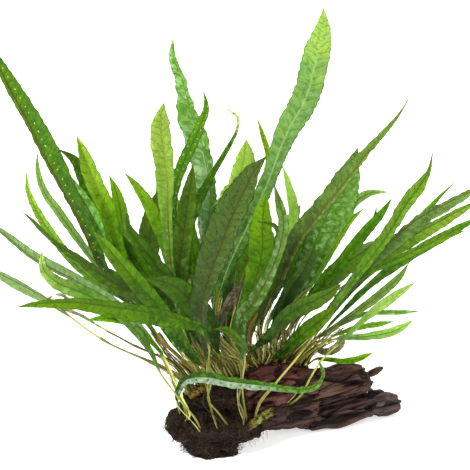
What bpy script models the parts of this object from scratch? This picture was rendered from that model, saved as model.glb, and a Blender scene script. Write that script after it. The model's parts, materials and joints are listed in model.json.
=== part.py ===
"""Java fern grown onto a short piece of driftwood: fronds, rhizomes, root clump and wood.

Lengths are in millimetres until place() or Vector * MM turns them into metres. +Z is up, +X is
to the right, and the origin is on the flat underside of the root clump.
"""

import math

import bmesh
import bpy
from mathutils import Matrix, Vector, noise
from mathutils.bvhtree import BVHTree

MM = 0.001

# The plant is drawn as seen from in front and a little above. A point is given as across, up and
# back: up is measured square to that line of sight, from the front edge of the clump's base.
SIGHT_TILT = math.radians(17)
BASE_FRONT = -25
SIGHT = Vector((0, math.cos(SIGHT_TILT), -math.sin(SIGHT_TILT)))

GAP = 0.3
SLIVER = 0.05

WOOD_SIDES = 14
RIDGES = 0.08
WOOD_TURN = math.radians(28.8)
RHIZOME_RADIUS = 2.8
STIPE_THICKNESS = 1.7
BLADE_THICKNESS = 1.2
STATION_STEP = 13
LEAST_STATIONS = 9
UPWARD = 0.15
FOOT_SPACING = 2.9
LAST_FOOT = 0.985
PATIENCE = 90
BLADE_FOLD = math.radians(14)
RIPPLE = 0.07

COLOURS = {
    "wood": (0.043, 0.018, 0.020),
    "roots": (0.020, 0.014, 0.011),
    "rhizome": (0.190, 0.210, 0.035),
    "lime": (0.450, 0.680, 0.090),
    "fresh": (0.130, 0.360, 0.035),
    "mid": (0.055, 0.190, 0.020),
    "dark": (0.022, 0.085, 0.012),
    "glaucous": (0.180, 0.370, 0.170),
    "dry": (0.360, 0.270, 0.150),
}
ROUGHNESS = {"wood": 0.75, "roots": 0.85, "rhizome": 0.5, "dry": 0.8}

# Each creeping rhizome: points from its left end to its right end, as x, y, z.
RHIZOMES = {
    "front": [(-21, -14, 23.5), (-12, -22, 17), (0, -24.5, 16), (12, -23, 17.5), (21, -16, 18.5),
              (33, -1, 22), (45, 7.5, 21)],
    "middle": [(-16, -4, 33), (-4, 2, 36.5), (10, 9, 39.5), (24, 18, 43.3), (38, 28, 43), (56, 39, 36.5)],
    "back": [(-12, 18, 33), (4, 25, 35), (20, 33, 38), (36, 42, 38), (50, 50, 31)],
}

# Each frond: name, its rhizome, how far along that it sprouts, the blade's width, the share of its
# length that is bare stipe, how far back its tip is, its colour, and across and up of the points
# that it passes on the way to its tip. A third number sets how far back that point is.
FRONDS = [
    # the left fan
    ("left_tall", "middle", 0.09, 9.2, 0.22, -12, "mid",
     [(-30, 64), (-45, 88), (-64, 111), (-76, 140), (-93, 175), (-111, 209), (-129, 238), (-138, 254)]),
    ("left_pale", "middle", 0.17, 9.0, 0.24, 8, "glaucous",
     [(-27, 72), (-45, 104), (-58, 120), (-66, 132), (-81, 159), (-89, 173)]),
    ("left_drooping", "back", 0.05, 7.4, 0.34, 26, "dark",
     [(-32, 84), (-58, 130), (-75, 161), (-83, 177), (-88, 185), (-95, 187)]),
    ("left_lime", "middle", 0.21, 8.8, 0.24, 0, "lime",
     [(-26, 76), (-42, 96), (-56, 117), (-64, 147), (-70, 159), (-79, 183), (-83, 195)]),
    ("left_upright", "back", 0.14, 8.6, 0.24, 16, "fresh",
     [(-24, 76), (-42, 104), (-51, 120), (-55, 135), (-58, 156), (-64, 172)]),
    ("left_olive", "middle", 0.29, 7.2, 0.30, -16, "lime",
     [(-10, 70), (-22, 102), (-27, 120), (-31, 133), (-35.5, 144), (-39.5, 152.5), (-44.5, 160), (-50, 168),
      (-54.5, 173)]),
    ("left_arching_back", "back", 0.00, 4.0, 0.30, 34, "fresh",
     [(-34, 74), (-50, 97), (-69, 115), (-81, 130), (-93, 147), (-103, 161), (-107, 175), (-107, 186)]),
    ("left_arching", "middle", 0.13, 4.4, 0.28, 2, "fresh",
     [(-33, 72), (-52, 95), (-69, 105), (-84, 118), (-99, 137), (-107, 150), (-112, 162), (-113, 174)]),
    ("left_sweeping", "middle", 0.33, 9.6, 0.14, -20, "dark",
     [(-8, 72), (-18, 88), (-30, 97), (-51, 102), (-63, 108), (-81, 120), (-99, 134), (-116, 150)]),
    ("left_low_pale", "front", 0.07, 5.0, 0.30, -24, "glaucous",
     [(-24, 44), (-34, 66), (-54, 90), (-78, 106), (-93, 114), (-105, 120), (-117, 129), (-129, 138),
      (-139, 145)]),
    ("left_low_lime", "front", 0.21, 7.8, 0.34, -42, "lime",
     [(-17, 31, -35), (-33, 53, -37), (-40, 68), (-58, 89), (-81, 101), (-93, 106), (-101, 112), (-103, 119),
      (-103, 127)]),
    ("left_lowest", "middle", 0.00, 4.4, 0.62, -40, "glaucous",
     [(-24, 51), (-35, 58), (-51, 64), (-69, 73), (-84, 84), (-98, 94), (-111, 101), (-129, 111),
      (-138, 116)]),
    ("left_curled", "middle", 0.04, 2.8, 0.55, -32, "dry",
     [(-26, 59), (-45, 67), (-69, 80), (-86, 90), (-97, 93), (-99, 98), (-95, 102), (-90, 98),
      (-82, 90)]),
    ("left_front", "front", 0.42, 9.6, 0.40, -66, "fresh",
     [(-4, 33, -29), (-2, 43, -33), (-3.5, 55, -37), (-3.5, 69, -41), (-6, 77, -44), (-13, 81), (-30, 85),
      (-51, 89), (-69, 92), (-84, 94), (-102, 94), (-119, 92)]),
    # the centre
    ("centre_lime", "middle", 0.25, 12.8, 0.30, -36, "lime",
     [(-16, 70), (-26, 110), (-29, 138), (-30, 162), (-32, 183), (-33.5, 196), (-32.5, 206), (-30, 214)]),
    ("centre_dark_tip", "back", 0.29, 5.6, 0.36, -6, "mid",
     [(-14, 84), (-23, 120), (-26, 150), (-21, 173), (-13, 191), (-7, 205), (-5, 213), (-7, 222)]),
    ("centre_tall", "back", 0.43, 13.4, 0.28, 26, "glaucous",
     [(-2, 76), (-5, 110), (-5, 140), (-5, 165), (-9, 188), (-15, 206), (-18, 220), (-21, 231),
      (-25.5, 243), (-25, 254)]),
    ("centre_curled", "back", 0.38, 5.4, 0.34, 6, "dark",
     [(-8, 78), (-15, 105), (-17, 135), (-9, 158), (-1, 173), (7, 186), (13, 198), (14, 204),
      (10, 210), (4, 212)]),
    ("centre_broad", "middle", 0.41, 11.0, 0.20, -8, "dark",
     [(-12, 74), (-21, 108), (-20, 126), (-17, 148), (-14, 168), (-13, 178)]),
    ("centre_lime_back", "back", 0.52, 16.6, 0.28, 14, "lime",
     [(2, 76), (1, 105), (3, 138), (8, 153), (13, 165), (17, 180), (19, 193)]),
    ("centre_dark", "front", 0.33, 16.8, 0.26, -38, "dark",
     [(-4, 36), (-5, 60), (-9, 86), (-7, 102), (-2, 119), (8, 145), (14, 157), (20, 168), (25, 176),
      (31, 182)]),
    ("tallest", "middle", 0.54, 14.6, 0.24, 8, "fresh",
     [(2, 72), (1, 92), (5, 108), (12, 126), (18.5, 139), (28, 159), (34, 174), (43, 197), (50, 209),
      (56, 223), (60, 239), (64, 255), (65, 271)]),
    ("centre_yellow", "back", 0.62, 5.4, 0.36, 34, "lime",
     [(20, 76), (36, 104), (42, 120), (46, 138), (47, 150), (44, 165), (40, 178)]),
    ("centre_arching", "front", 0.56, 8.4, 0.26, -22, "glaucous",
     [(16, 44), (18, 60), (14, 76), (17, 88), (25, 97), (36, 119), (41, 138), (39, 153), (35, 166)]),
    ("centre_bright", "middle", 0.66, 13.0, 0.20, -2, "fresh",
     [(15, 74), (18, 90), (24, 108), (28, 123), (29, 147), (31, 161)]),
    ("centre_short", "middle", 0.49, 5.0, 0.44, -24, "glaucous",
     [(5, 64), (2, 75), (3, 84), (6, 91), (9.5, 97), (13, 103), (16, 107.5)]),
    ("centre_folded", "middle", 0.45, 13.5, 0.22, -48, "mid",
     [(1, 66), (-2, 81), (-12, 93), (-21, 102), (-30, 107), (-41, 109)]),
    ("centre_leaning", "middle", 0.37, 7.0, 0.24, -28, "mid",
     [(-6, 70), (-8, 84), (-15, 94), (-26, 105), (-40, 124), (-50, 135), (-53, 148)]),
    ("centre_shaded", "back", 0.19, 12.0, 0.24, 20, "dark",
     [(-20, 80), (-35, 108), (-39, 123), (-39, 137), (-37, 150), (-34, 163)]),
    ("front_short", "front", 0.54, 4.2, 0.58, -58, "fresh",
     [(14, 36, -31), (16.5, 49, -36), (15, 59, -40), (17, 66, -46), (18.5, 70, -51), (14, 72, -54), (9, 76),
      (3.5, 80.5), (-1, 79)]),
    ("front_crossing", "front", 0.0, 8.6, 0.16, -52, "fresh",
     [(-23, 38, -30), (-18, 48, -38), (-6, 50, -42), (12, 47, -46), (30, 45, -48), (48, 43, -50), (60, 44),
      (64, 48), (64, 54), (61, 62)]),
    # the right fan
    ("right_tall", "middle", 0.74, 8.4, 0.14, 4, "dark",
     [(26, 80), (36, 106), (48, 132), (62, 150), (75, 166), (87, 180), (99, 194), (109.5, 206),
      (118, 219.5)]),
    ("right_pale", "back", 0.67, 19.0, 0.18, 44, "glaucous",
     [(32, 82), (51, 105), (60, 120), (69, 138), (76, 156), (82, 171), (86, 188)]),
    ("right_hooked", "back", 0.72, 5.6, 0.24, 56, "fresh",
     [(38, 80), (57, 105), (69, 126), (76, 144), (81, 152), (89, 158), (98, 162), (106, 161)]),
    ("right_dark_tip", "middle", 0.78, 5.6, 0.26, 26, "mid",
     [(38, 76), (56, 96), (69, 110), (81, 125), (93, 140), (101, 149), (107, 158)]),
    ("right_fresh", "front", 0.64, 7.2, 0.40, 34, "fresh",
     [(28, 36), (40, 50), (51, 63), (63, 80), (75, 97), (83, 109), (94, 123), (102, 135), (108, 144),
      (113.5, 153), (118, 159.5), (123, 165.5), (127, 172), (130, 178), (131.5, 187)]),
    ("right_sweeping", "middle", 0.90, 7.2, 0.20, 44, "dark",
     [(54, 70), (72, 94), (90, 113), (108, 129.5), (126, 144), (144, 154.5), (153, 160), (163, 165)]),
    ("right_sweeping_pale", "back", 0.86, 6.4, 0.24, 70, "fresh",
     [(60, 74, 54), (78, 97), (90, 110), (102, 120.5), (120, 132.5), (141, 145), (153, 152), (162, 157)]),
    ("right_sweeping_low", "middle", 0.95, 5.2, 0.26, 22, "mid",
     [(60, 70), (88, 100), (111, 118.5), (129, 129.5), (144, 138), (153, 142.5), (161, 146.5)]),
    ("right_narrow", "middle", 0.86, 4.2, 0.26, 4, "dark",
     [(52, 66), (70, 78), (82, 86), (98, 98), (111, 110), (117, 119)]),
    ("right_lime", "front", 0.96, 4.2, 0.50, -8, "lime",
     [(50, 36), (56, 46), (62, 57), (78, 73), (91, 85), (102, 94), (114, 102), (121, 107)]),
    ("right_low", "middle", 0.97, 4.2, 0.36, 16, "fresh",
     [(60, 66), (72, 72), (93, 74), (108, 77), (120, 84)]),
    ("right_withered", "back", 1.00, 4.4, 0.30, 40, "dry",
     [(60, 66, 54), (66, 64), (73, 66), (77, 72), (75, 79)]),
    ("right_front_bright", "middle", 0.62, 8.6, 0.20, -26, "fresh",
     [(18, 62), (28, 70), (42, 86), (51, 92), (60, 96), (69, 101), (76, 106)]),
    ("right_front_low", "middle", 0.76, 7.8, 0.20, -16, "fresh",
     [(33, 58), (38, 62), (43, 67), (49, 72), (57, 79), (66, 86), (73, 93)]),
    # behind, where the fronds spread away from the viewer
    ("back_left", "back", 0.10, 11.0, 0.24, 104, "mid",
     [(-28, 88), (-46, 118), (-62, 138), (-72, 150)]),
    ("back_centre_left", "back", 0.33, 13.0, 0.24, 92, "fresh",
     [(-14, 90), (-22, 130), (-30, 158), (-34, 176)]),
    ("back_centre", "back", 0.48, 14.5, 0.17, 112, "dark",
     [(6, 84), (9.5, 108), (13, 138), (14, 158)]),
    ("back_centre_right", "back", 0.57, 13.0, 0.16, 104, "mid",
     [(22, 82), (34, 108), (45, 138), (52, 154)]),
    ("back_right", "back", 0.81, 12.0, 0.24, 128, "fresh",
     [(50, 85), (70, 109), (87, 123), (100, 132)]),
    ("back_low", "back", 0.24, 10.0, 0.22, 118, "glaucous",
     [(-20, 78), (-34, 98), (-48, 110), (-58, 114)]),
]

# The outline of the blades that aren't simply widest past their middle: share of the blade's length
# and of its full width.
OUTLINES = {
    "back_centre": [(0, 0.2), (0.12, 0.66), (0.3, 0.95), (0.5, 1), (0.75, 0.88), (0.9, 0.5), (1, 0)],
    "back_centre_right": [(0, 0.2), (0.12, 0.66), (0.3, 0.95), (0.5, 1), (0.75, 0.88), (0.9, 0.5), (1, 0)],
    "tallest": [(0, 0.15), (0.16, 0.56), (0.45, 0.56), (0.56, 0.8), (0.62, 0.96), (0.72, 1), (0.85, 1),
                (0.9, 0.78), (0.95, 0.42), (1, 0)],
    "centre_lime": [(0, 0.15), (0.11, 0.22), (0.31, 0.31), (0.46, 0.5), (0.54, 0.68), (0.61, 0.77),
                    (0.76, 0.92), (0.84, 1), (0.9, 0.82), (0.95, 0.5), (1, 0)],
    "centre_tall": [(0, 0.12), (0.24, 0.65), (0.46, 1), (0.67, 0.9), (0.78, 0.62), (0.85, 0.48), (0.9, 0.26),
                    (1, 0.1)],
    "centre_lime_back": [(0, 0.12), (0.3, 0.6), (0.6, 1), (0.75, 1), (0.82, 0.92), (0.9, 0.7), (0.96, 0.35),
                         (1, 0)],
    "centre_curled": [(0, 0.3), (0.15, 0.8), (0.3, 1), (0.42, 0.95), (0.5, 0.8), (0.61, 0.42), (0.72, 0.3),
                      (0.9, 0.25), (1, 0)],
    "centre_arching": [(0, 0.3), (0.1, 0.75), (0.25, 1), (0.4, 0.85), (0.55, 0.62), (0.8, 0.64), (0.9, 0.45),
                       (1, 0)],
    "right_tall": [(0, 0.3), (0.2, 0.9), (0.4, 1), (0.62, 0.9), (0.72, 0.57), (0.78, 0.36), (0.84, 0.21),
                   (0.92, 0.12), (1, 0)],
    "right_fresh": [(0, 0.12), (0.3, 0.7), (0.5, 1), (0.77, 1), (0.84, 0.62), (0.89, 0.36), (0.95, 0.2),
                    (1, 0)],
    "left_lime": [(0, 0.12), (0.3, 0.7), (0.6, 1), (0.8, 0.95), (0.92, 0.6), (1, 0)],
    "left_front": [(0, 0.3), (0.15, 0.85), (0.32, 1), (0.5, 0.85), (0.7, 0.55), (0.85, 0.38), (1, 0)],
    "left_sweeping": [(0, 0.3), (0.15, 0.8), (0.3, 1), (0.4, 0.94), (0.49, 0.75), (0.63, 0.5), (0.78, 0.27),
                      (0.9, 0.2), (1, 0)],
    "left_inner": [(0, 0.3), (0.3, 0.85), (0.5, 1), (0.75, 0.8), (0.9, 0.45), (1, 0)],
    "front_crossing": [(0, 0.25), (0.1, 0.65), (0.25, 1), (0.4, 0.95), (0.55, 0.66), (0.7, 0.52),
                       (0.88, 0.42), (1, 0.1)],
    "right_far": [(0, 0.5), (0.3, 1), (0.6, 0.8), (0.8, 0.4), (1, 0)],
}

# The young fronds are fused to the rhizome that they sprout from: slender ones in the fans, and
# broader ones that fill the bush behind them.
YOUNG_FRONDS = [
    ("left_side_shoot", "front", 0.14, 3.4, 0.50, -34,
     [(-21, 40), (-32, 64), (-52, 82), (-69, 85), (-78, 84)]),
    ("centre_sprout", "middle", 0.58, 2.6, 0.60, 24,
     [(10, 80), (22, 130), (32, 176), (29, 194), (25, 206)]),
    ("centre_hooked", "middle", 0.69, 2.0, 0.55, -14,
     [(28, 78), (38, 112), (39, 132), (34, 142), (24, 143)]),
    ("right_upper", "middle", 0.82, 3.4, 0.50, 14,
     [(42, 82), (60, 108), (76, 136), (83, 146), (91, 152)]),
    ("right_inner", "back", 0.76, 3.2, 0.50, 62,
     [(44, 78), (70, 112), (90, 135), (97, 144), (98, 153)]),
    ("right_far", "back", 0.91, 3.0, 0.60, 96,
     [(52, 86, 66), (84, 108, 78), (114, 135), (133, 154), (148, 170)]),
    ("right_outer", "middle", 0.80, 3.6, 0.45, 8,
     [(46, 66, 24), (62, 82), (76, 100), (92, 112), (117, 124), (134, 132), (151, 138)]),
    ("right_dark_low", "back", 0.95, 2.2, 0.45, 34,
     [(57, 64, 46), (70, 76, 46), (90, 87), (110, 88), (125, 89)]),
    ("right_pair", "middle", 0.92, 3.2, 0.50, 12,
     [(54, 62, 30), (70, 73, 24), (84, 79), (96, 81), (108, 83)]),
    ("left_inner", "middle", 0.19, 9.8, 0.24, -32,
     [(-16, 66, -26), (-34, 92), (-46, 106), (-58, 120), (-67, 131), (-73, 137.5)]),
    ("left_inner_back", "middle", 0.11, 8.0, 0.26, 44,
     [(-16, 74, 22), (-42, 112), (-56, 130), (-66, 142)]),
    ("left_inner_low", "back", 0.05, 8.0, 0.24, 60,
     [(-24, 76, 44), (-44, 96), (-62, 109), (-78, 116)]),
    ("centre_inner_left", "middle", 0.47, 8.6, 0.26, 44,
     [(-4, 80, 24), (-12, 118), (-16, 142), (-20, 162)]),
    ("centre_inner", "middle", 0.62, 9.6, 0.26, 44,
     [(14, 84, 46), (18, 112), (24, 134), (27, 152)]),
    ("right_inner_low", "middle", 0.71, 8.4, 0.24, -24,
     [(34, 74, 6), (44, 100), (54, 116), (60, 130)]),
    ("right_inner_mid", "middle", 0.80, 9.4, 0.24, 62,
     [(40, 88, 58), (52, 116), (61, 138), (66, 154)]),
    ("right_inner_back", "back", 0.62, 11.0, 0.22, 74,
     [(28, 88, 60), (40, 112), (50, 130), (56, 146)]),
    ("right_lowest", "middle", 0.985, 3.0, 0.30, 24,
     [(60, 60, 34), (70, 59.5), (78, 58.5), (87, 60), (96, 64)]),
]

# The driftwood's stations: across, up, half height and half width, from left to right. Its axis
# runs away from the viewer to the right, at WOOD_TURN.
TRUNK = [(-8, 22, 7, 9), (2, 26, 12, 14), (14, 32, 17, 18), (24, 36.5, 19.5, 20), (33, 38.5, 20.5, 20),
         (43, 37, 19, 19), (54, 36.5, 18, 18)]
UPPER_FORK = [(54.6, 43.2, 11.9, 15), (62, 43.4, 10.8, 14), (72, 44.6, 9.0, 13), (81, 47.0, 9.9, 12),
              (87, 46.9, 8.8, 10), (90.5, 44.4, 5.6, 7.5), (94, 43.4, 3.2, 5)]
LOWER_FORK = [(54.6, 24.2, 5.6, 15), (63, 25.6, 5.7, 14.5), (72, 27.0, 6.9, 14), (81, 29.0, 6.6, 13),
              (87, 31.0, 5.8, 12), (89.6, 30.8, 6.2, 12), (92, 33.2, 4.0, 11.5), (97, 33.4, 6.4, 11),
              (103, 33.4, 7.0, 9.5), (107, 32.0, 5.2, 7.5), (109.5, 31.0, 2.8, 4.5)]
SPUR = [(93.2, 49.9, 1.4, 2.0), (96, 51.0, 1.5, 2.0), (98.6, 52.4, 1.5, 1.9), (101.2, 54.2, 0.9, 1.1)]

# The root clump's lobes: centre, half sizes and how square they are.
CLUMP_LOBES = [
    ((-2, 0, 4), (16, 25, 12), 2.8), ((-9, -3, 15), (20, 21, 10), 2.6), ((9, 3, 14), (20, 22, 11), 2.2),
    ((0, 6, 25), (20, 19, 13), 2.4),
]
CLUMP_CENTRE = Vector((0, 1, 14))


def place(across, up, back):
    """The point in metres whose view square to the line of sight is across and up."""
    rise = (up - (back - BASE_FRONT) * math.sin(SIGHT_TILT)) / math.cos(SIGHT_TILT)
    return Vector((across, back, rise)) * MM


def ease(share):
    """A smooth rise from 0 to 1."""
    share = min(1, max(0, share))
    return share * share * (3 - 2 * share)


def along_outline(outline, along):
    """The share of its full width that a blade has at this share of its length."""
    for (before, low), (after, high) in zip(outline, outline[1:]):
        if along <= after:
            return low + (high - low) * (along - before) / (after - before)
    return 0.0


def smooth_path(points, step):
    """A curve through the points, cut into even steps of about that length."""
    ends = [points[0] * 2 - points[1]] + points + [points[-1] * 2 - points[-2]]
    fine = []
    for a, b, c, d in zip(ends, ends[1:], ends[2:], ends[3:]):
        for i in range(12):
            t = i / 12
            fine.append(0.5 * (2 * b + (c - a) * t + (2 * a - 5 * b + 4 * c - d) * t * t
                               + (3 * b - a - 3 * c + d) * t ** 3))
    fine.append(points[-1])
    reach = [0.0]
    for a, b in zip(fine, fine[1:]):
        reach.append(reach[-1] + (b - a).length)
    count = max(5, round(reach[-1] / step))
    path, k = [], 0
    for i in range(count + 1):
        want = reach[-1] * i / count
        while k < len(reach) - 2 and reach[k + 1] < want:
            k += 1
        share = (want - reach[k]) / (reach[k + 1] - reach[k])
        path.append(fine[k].lerp(fine[k + 1], min(max(share, 0), 1)))
    return path


def new_object(name, mesh, colour):
    """An object of the mesh in the collection, with a material of its own colour."""
    body = bpy.data.objects.new(name, mesh)
    material = bpy.data.materials.get(colour) or bpy.data.materials.new(colour)
    material.use_nodes = True
    shader = material.node_tree.nodes["Principled BSDF"]
    shader.inputs["Base Color"].default_value = (*COLOURS[colour], 1)
    shader.inputs["Roughness"].default_value = ROUGHNESS.get(colour, 0.4)
    mesh.materials.append(material)
    collection.objects.link(body)
    return body


def loft(rings):
    """A closed mesh through rings of equal count, between flat ends."""
    bm = bmesh.new()
    loops = [[bm.verts.new(p) for p in ring] for ring in rings]
    for a, b in zip(loops, loops[1:]):
        for i in range(len(a)):
            j = (i + 1) % len(a)
            bm.faces.new((a[i], a[j], b[j], b[i]))
    bm.faces.new(list(reversed(loops[0])))
    bm.faces.new(loops[-1])
    bmesh.ops.triangulate(bm, faces=bm.faces, quad_method="FIXED")
    return finished(bm)


def blade_loft(rings, tip):
    """A closed mesh through four-pointed sections to a tip. Each side's upper and under faces are
    parted along like diagonals, from margin to midrib, so that the thin blade never cuts itself."""
    bm = bmesh.new()
    loops = [[bm.verts.new(p) for p in ring] for ring in rings]
    for a, b in zip(loops, loops[1:]):
        for margin, rib in ((0, 1), (2, 3)):
            bm.faces.new((a[margin], a[rib], b[rib]))
            bm.faces.new((a[margin], b[rib], b[margin]))
        for rib, margin in ((1, 2), (3, 0)):
            bm.faces.new((a[rib], a[margin], b[rib]))
            bm.faces.new((a[margin], b[margin], b[rib]))
    bm.faces.new(list(reversed(loops[0])))
    end = bm.verts.new(tip)
    last = loops[-1]
    for i in range(4):
        bm.faces.new((last[i], last[(i + 1) % 4], end))
    return finished(bm)


def finished(bm):
    """The bmesh's faces turned outwards, as a new mesh."""
    bmesh.ops.recalc_face_normals(bm, faces=bm.faces)
    mesh = bpy.data.meshes.new("body")
    bm.to_mesh(mesh)
    bm.free()
    return mesh


def combine(body, other, operation):
    """Applies a Boolean of the other object to the body, and keeps the result as its mesh."""
    modifier = body.modifiers.new(operation.title(), "BOOLEAN")
    modifier.operation = operation
    modifier.object = other
    bpy.context.view_layer.update()
    evaluated = body.evaluated_get(bpy.context.evaluated_depsgraph_get())
    mesh = bpy.data.meshes.new_from_object(evaluated)
    body.modifiers.clear()
    body.data = mesh
    bm = bmesh.new()
    bm.from_mesh(mesh)
    bmesh.ops.triangulate(bm, faces=bm.faces)
    bmesh.ops.remove_doubles(bm, verts=bm.verts, dist=SLIVER * MM)
    bmesh.ops.dissolve_degenerate(bm, edges=bm.edges, dist=SLIVER * MM)
    bmesh.ops.triangulate(bm, faces=bm.faces)
    bm.to_mesh(mesh)
    bm.free()


def rhizome_tube(name, points, radius):
    """A tube through the points with rounded-off ends, as a mesh object."""
    path = smooth_path([Vector(p) * MM for p in points], 6 * MM)
    curve = bpy.data.curves.new(name, "CURVE")
    curve.dimensions = "3D"
    curve.bevel_depth = radius * MM
    curve.bevel_resolution = 2
    curve.use_fill_caps = True
    spline = curve.splines.new("POLY")
    spline.points.add(len(path) - 1)
    for i, (point, spot) in enumerate(zip(spline.points, path)):
        point.co = (*spot, 1)
        node_swell = 1 + 0.12 * math.sin(i * 2.1)
        from_end = min(i, len(path) - 1 - i)
        point.radius = node_swell * (0.62 if from_end == 0 else 1)
    tube = bpy.data.objects.new(name, curve)
    collection.objects.link(tube)
    bpy.context.view_layer.update()
    mesh = bpy.data.meshes.new_from_object(tube.evaluated_get(bpy.context.evaluated_depsgraph_get()))
    bpy.data.objects.remove(tube)
    bm = bmesh.new()
    bm.from_mesh(mesh)
    bmesh.ops.remove_doubles(bm, verts=bm.verts, dist=0.01 * MM)
    bm.to_mesh(mesh)
    bm.free()
    mesh.materials.clear()
    return path, mesh


def wood_limb(stations, grow=0.0, seed=0.0):
    """An irregular limb: a ring of points at each station, ridged by noise, along the wood's axis."""
    axis = Vector((math.cos(WOOD_TURN), math.sin(WOOD_TURN), 0))
    side = Vector((-axis.y, axis.x, 0))
    rings = []
    for across, up, half_height, half_width in stations:
        back = (across + 10) * math.tan(WOOD_TURN)
        centre = place(across, up, back)
        ring = []
        for i in range(WOOD_SIDES):
            angle = math.tau * i / WOOD_SIDES
            spot = Vector((math.cos(angle) * 1.6, math.sin(angle) * 1.6, across * 0.03 + seed))
            ridge = noise.noise(spot)
            size = 1 + RIDGES * ridge
            reach = side * math.cos(angle) * (half_width * size + grow)
            height = math.sin(angle) * (half_height * size + grow)
            ring.append(centre + (reach + Vector((0, 0, height))) * MM)
        rings.append(ring)
    return loft(rings)


def cut_flat(mesh, height):
    """Cuts the mesh off flat at the height and closes it there."""
    bm = bmesh.new()
    bm.from_mesh(mesh)
    geometry = bm.verts[:] + bm.edges[:] + bm.faces[:]
    bmesh.ops.bisect_plane(bm, geom=geometry, dist=0.0001 * MM, plane_co=(0, 0, height), plane_no=(0, 0, -1),
                           clear_outer=True)
    bmesh.ops.holes_fill(bm, edges=[e for e in bm.edges if e.is_boundary])
    bm.to_mesh(mesh)
    bm.free()


def root_clump():
    """A ball pushed out to the clump's lobes and roughened, cut off flat at the base."""
    bm = bmesh.new()
    bmesh.ops.create_icosphere(bm, subdivisions=4, radius=1)
    for vertex in bm.verts:
        ray = vertex.co.normalized()
        reach = 0.0
        for centre, half, power in CLUMP_LOBES:
            reach = max(reach, lobe_reach(ray, Vector(centre) - CLUMP_CENTRE, half, power))
        lump = noise.noise(ray * 3.1) * 1.6 + noise.noise(ray * 7.3) * 0.9
        vertex.co = (CLUMP_CENTRE + ray * (reach + lump)) * MM
    mesh = bpy.data.meshes.new("root_clump")
    bm.to_mesh(mesh)
    bm.free()
    cut_flat(mesh, 0)
    return mesh


def lobe_reach(ray, centre, half, power):
    """How far out along the ray the lobe's surface is."""
    low, high = 0.0, 80.0
    if sum(abs(-centre[k] / half[k]) ** power for k in range(3)) > 1:
        return 0.0
    for _ in range(24):
        middle = (low + high) / 2
        inside = sum(abs((ray[k] * middle - centre[k]) / half[k]) ** power for k in range(3)) < 1
        low, high = (middle, high) if inside else (low, middle)
    return low


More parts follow.
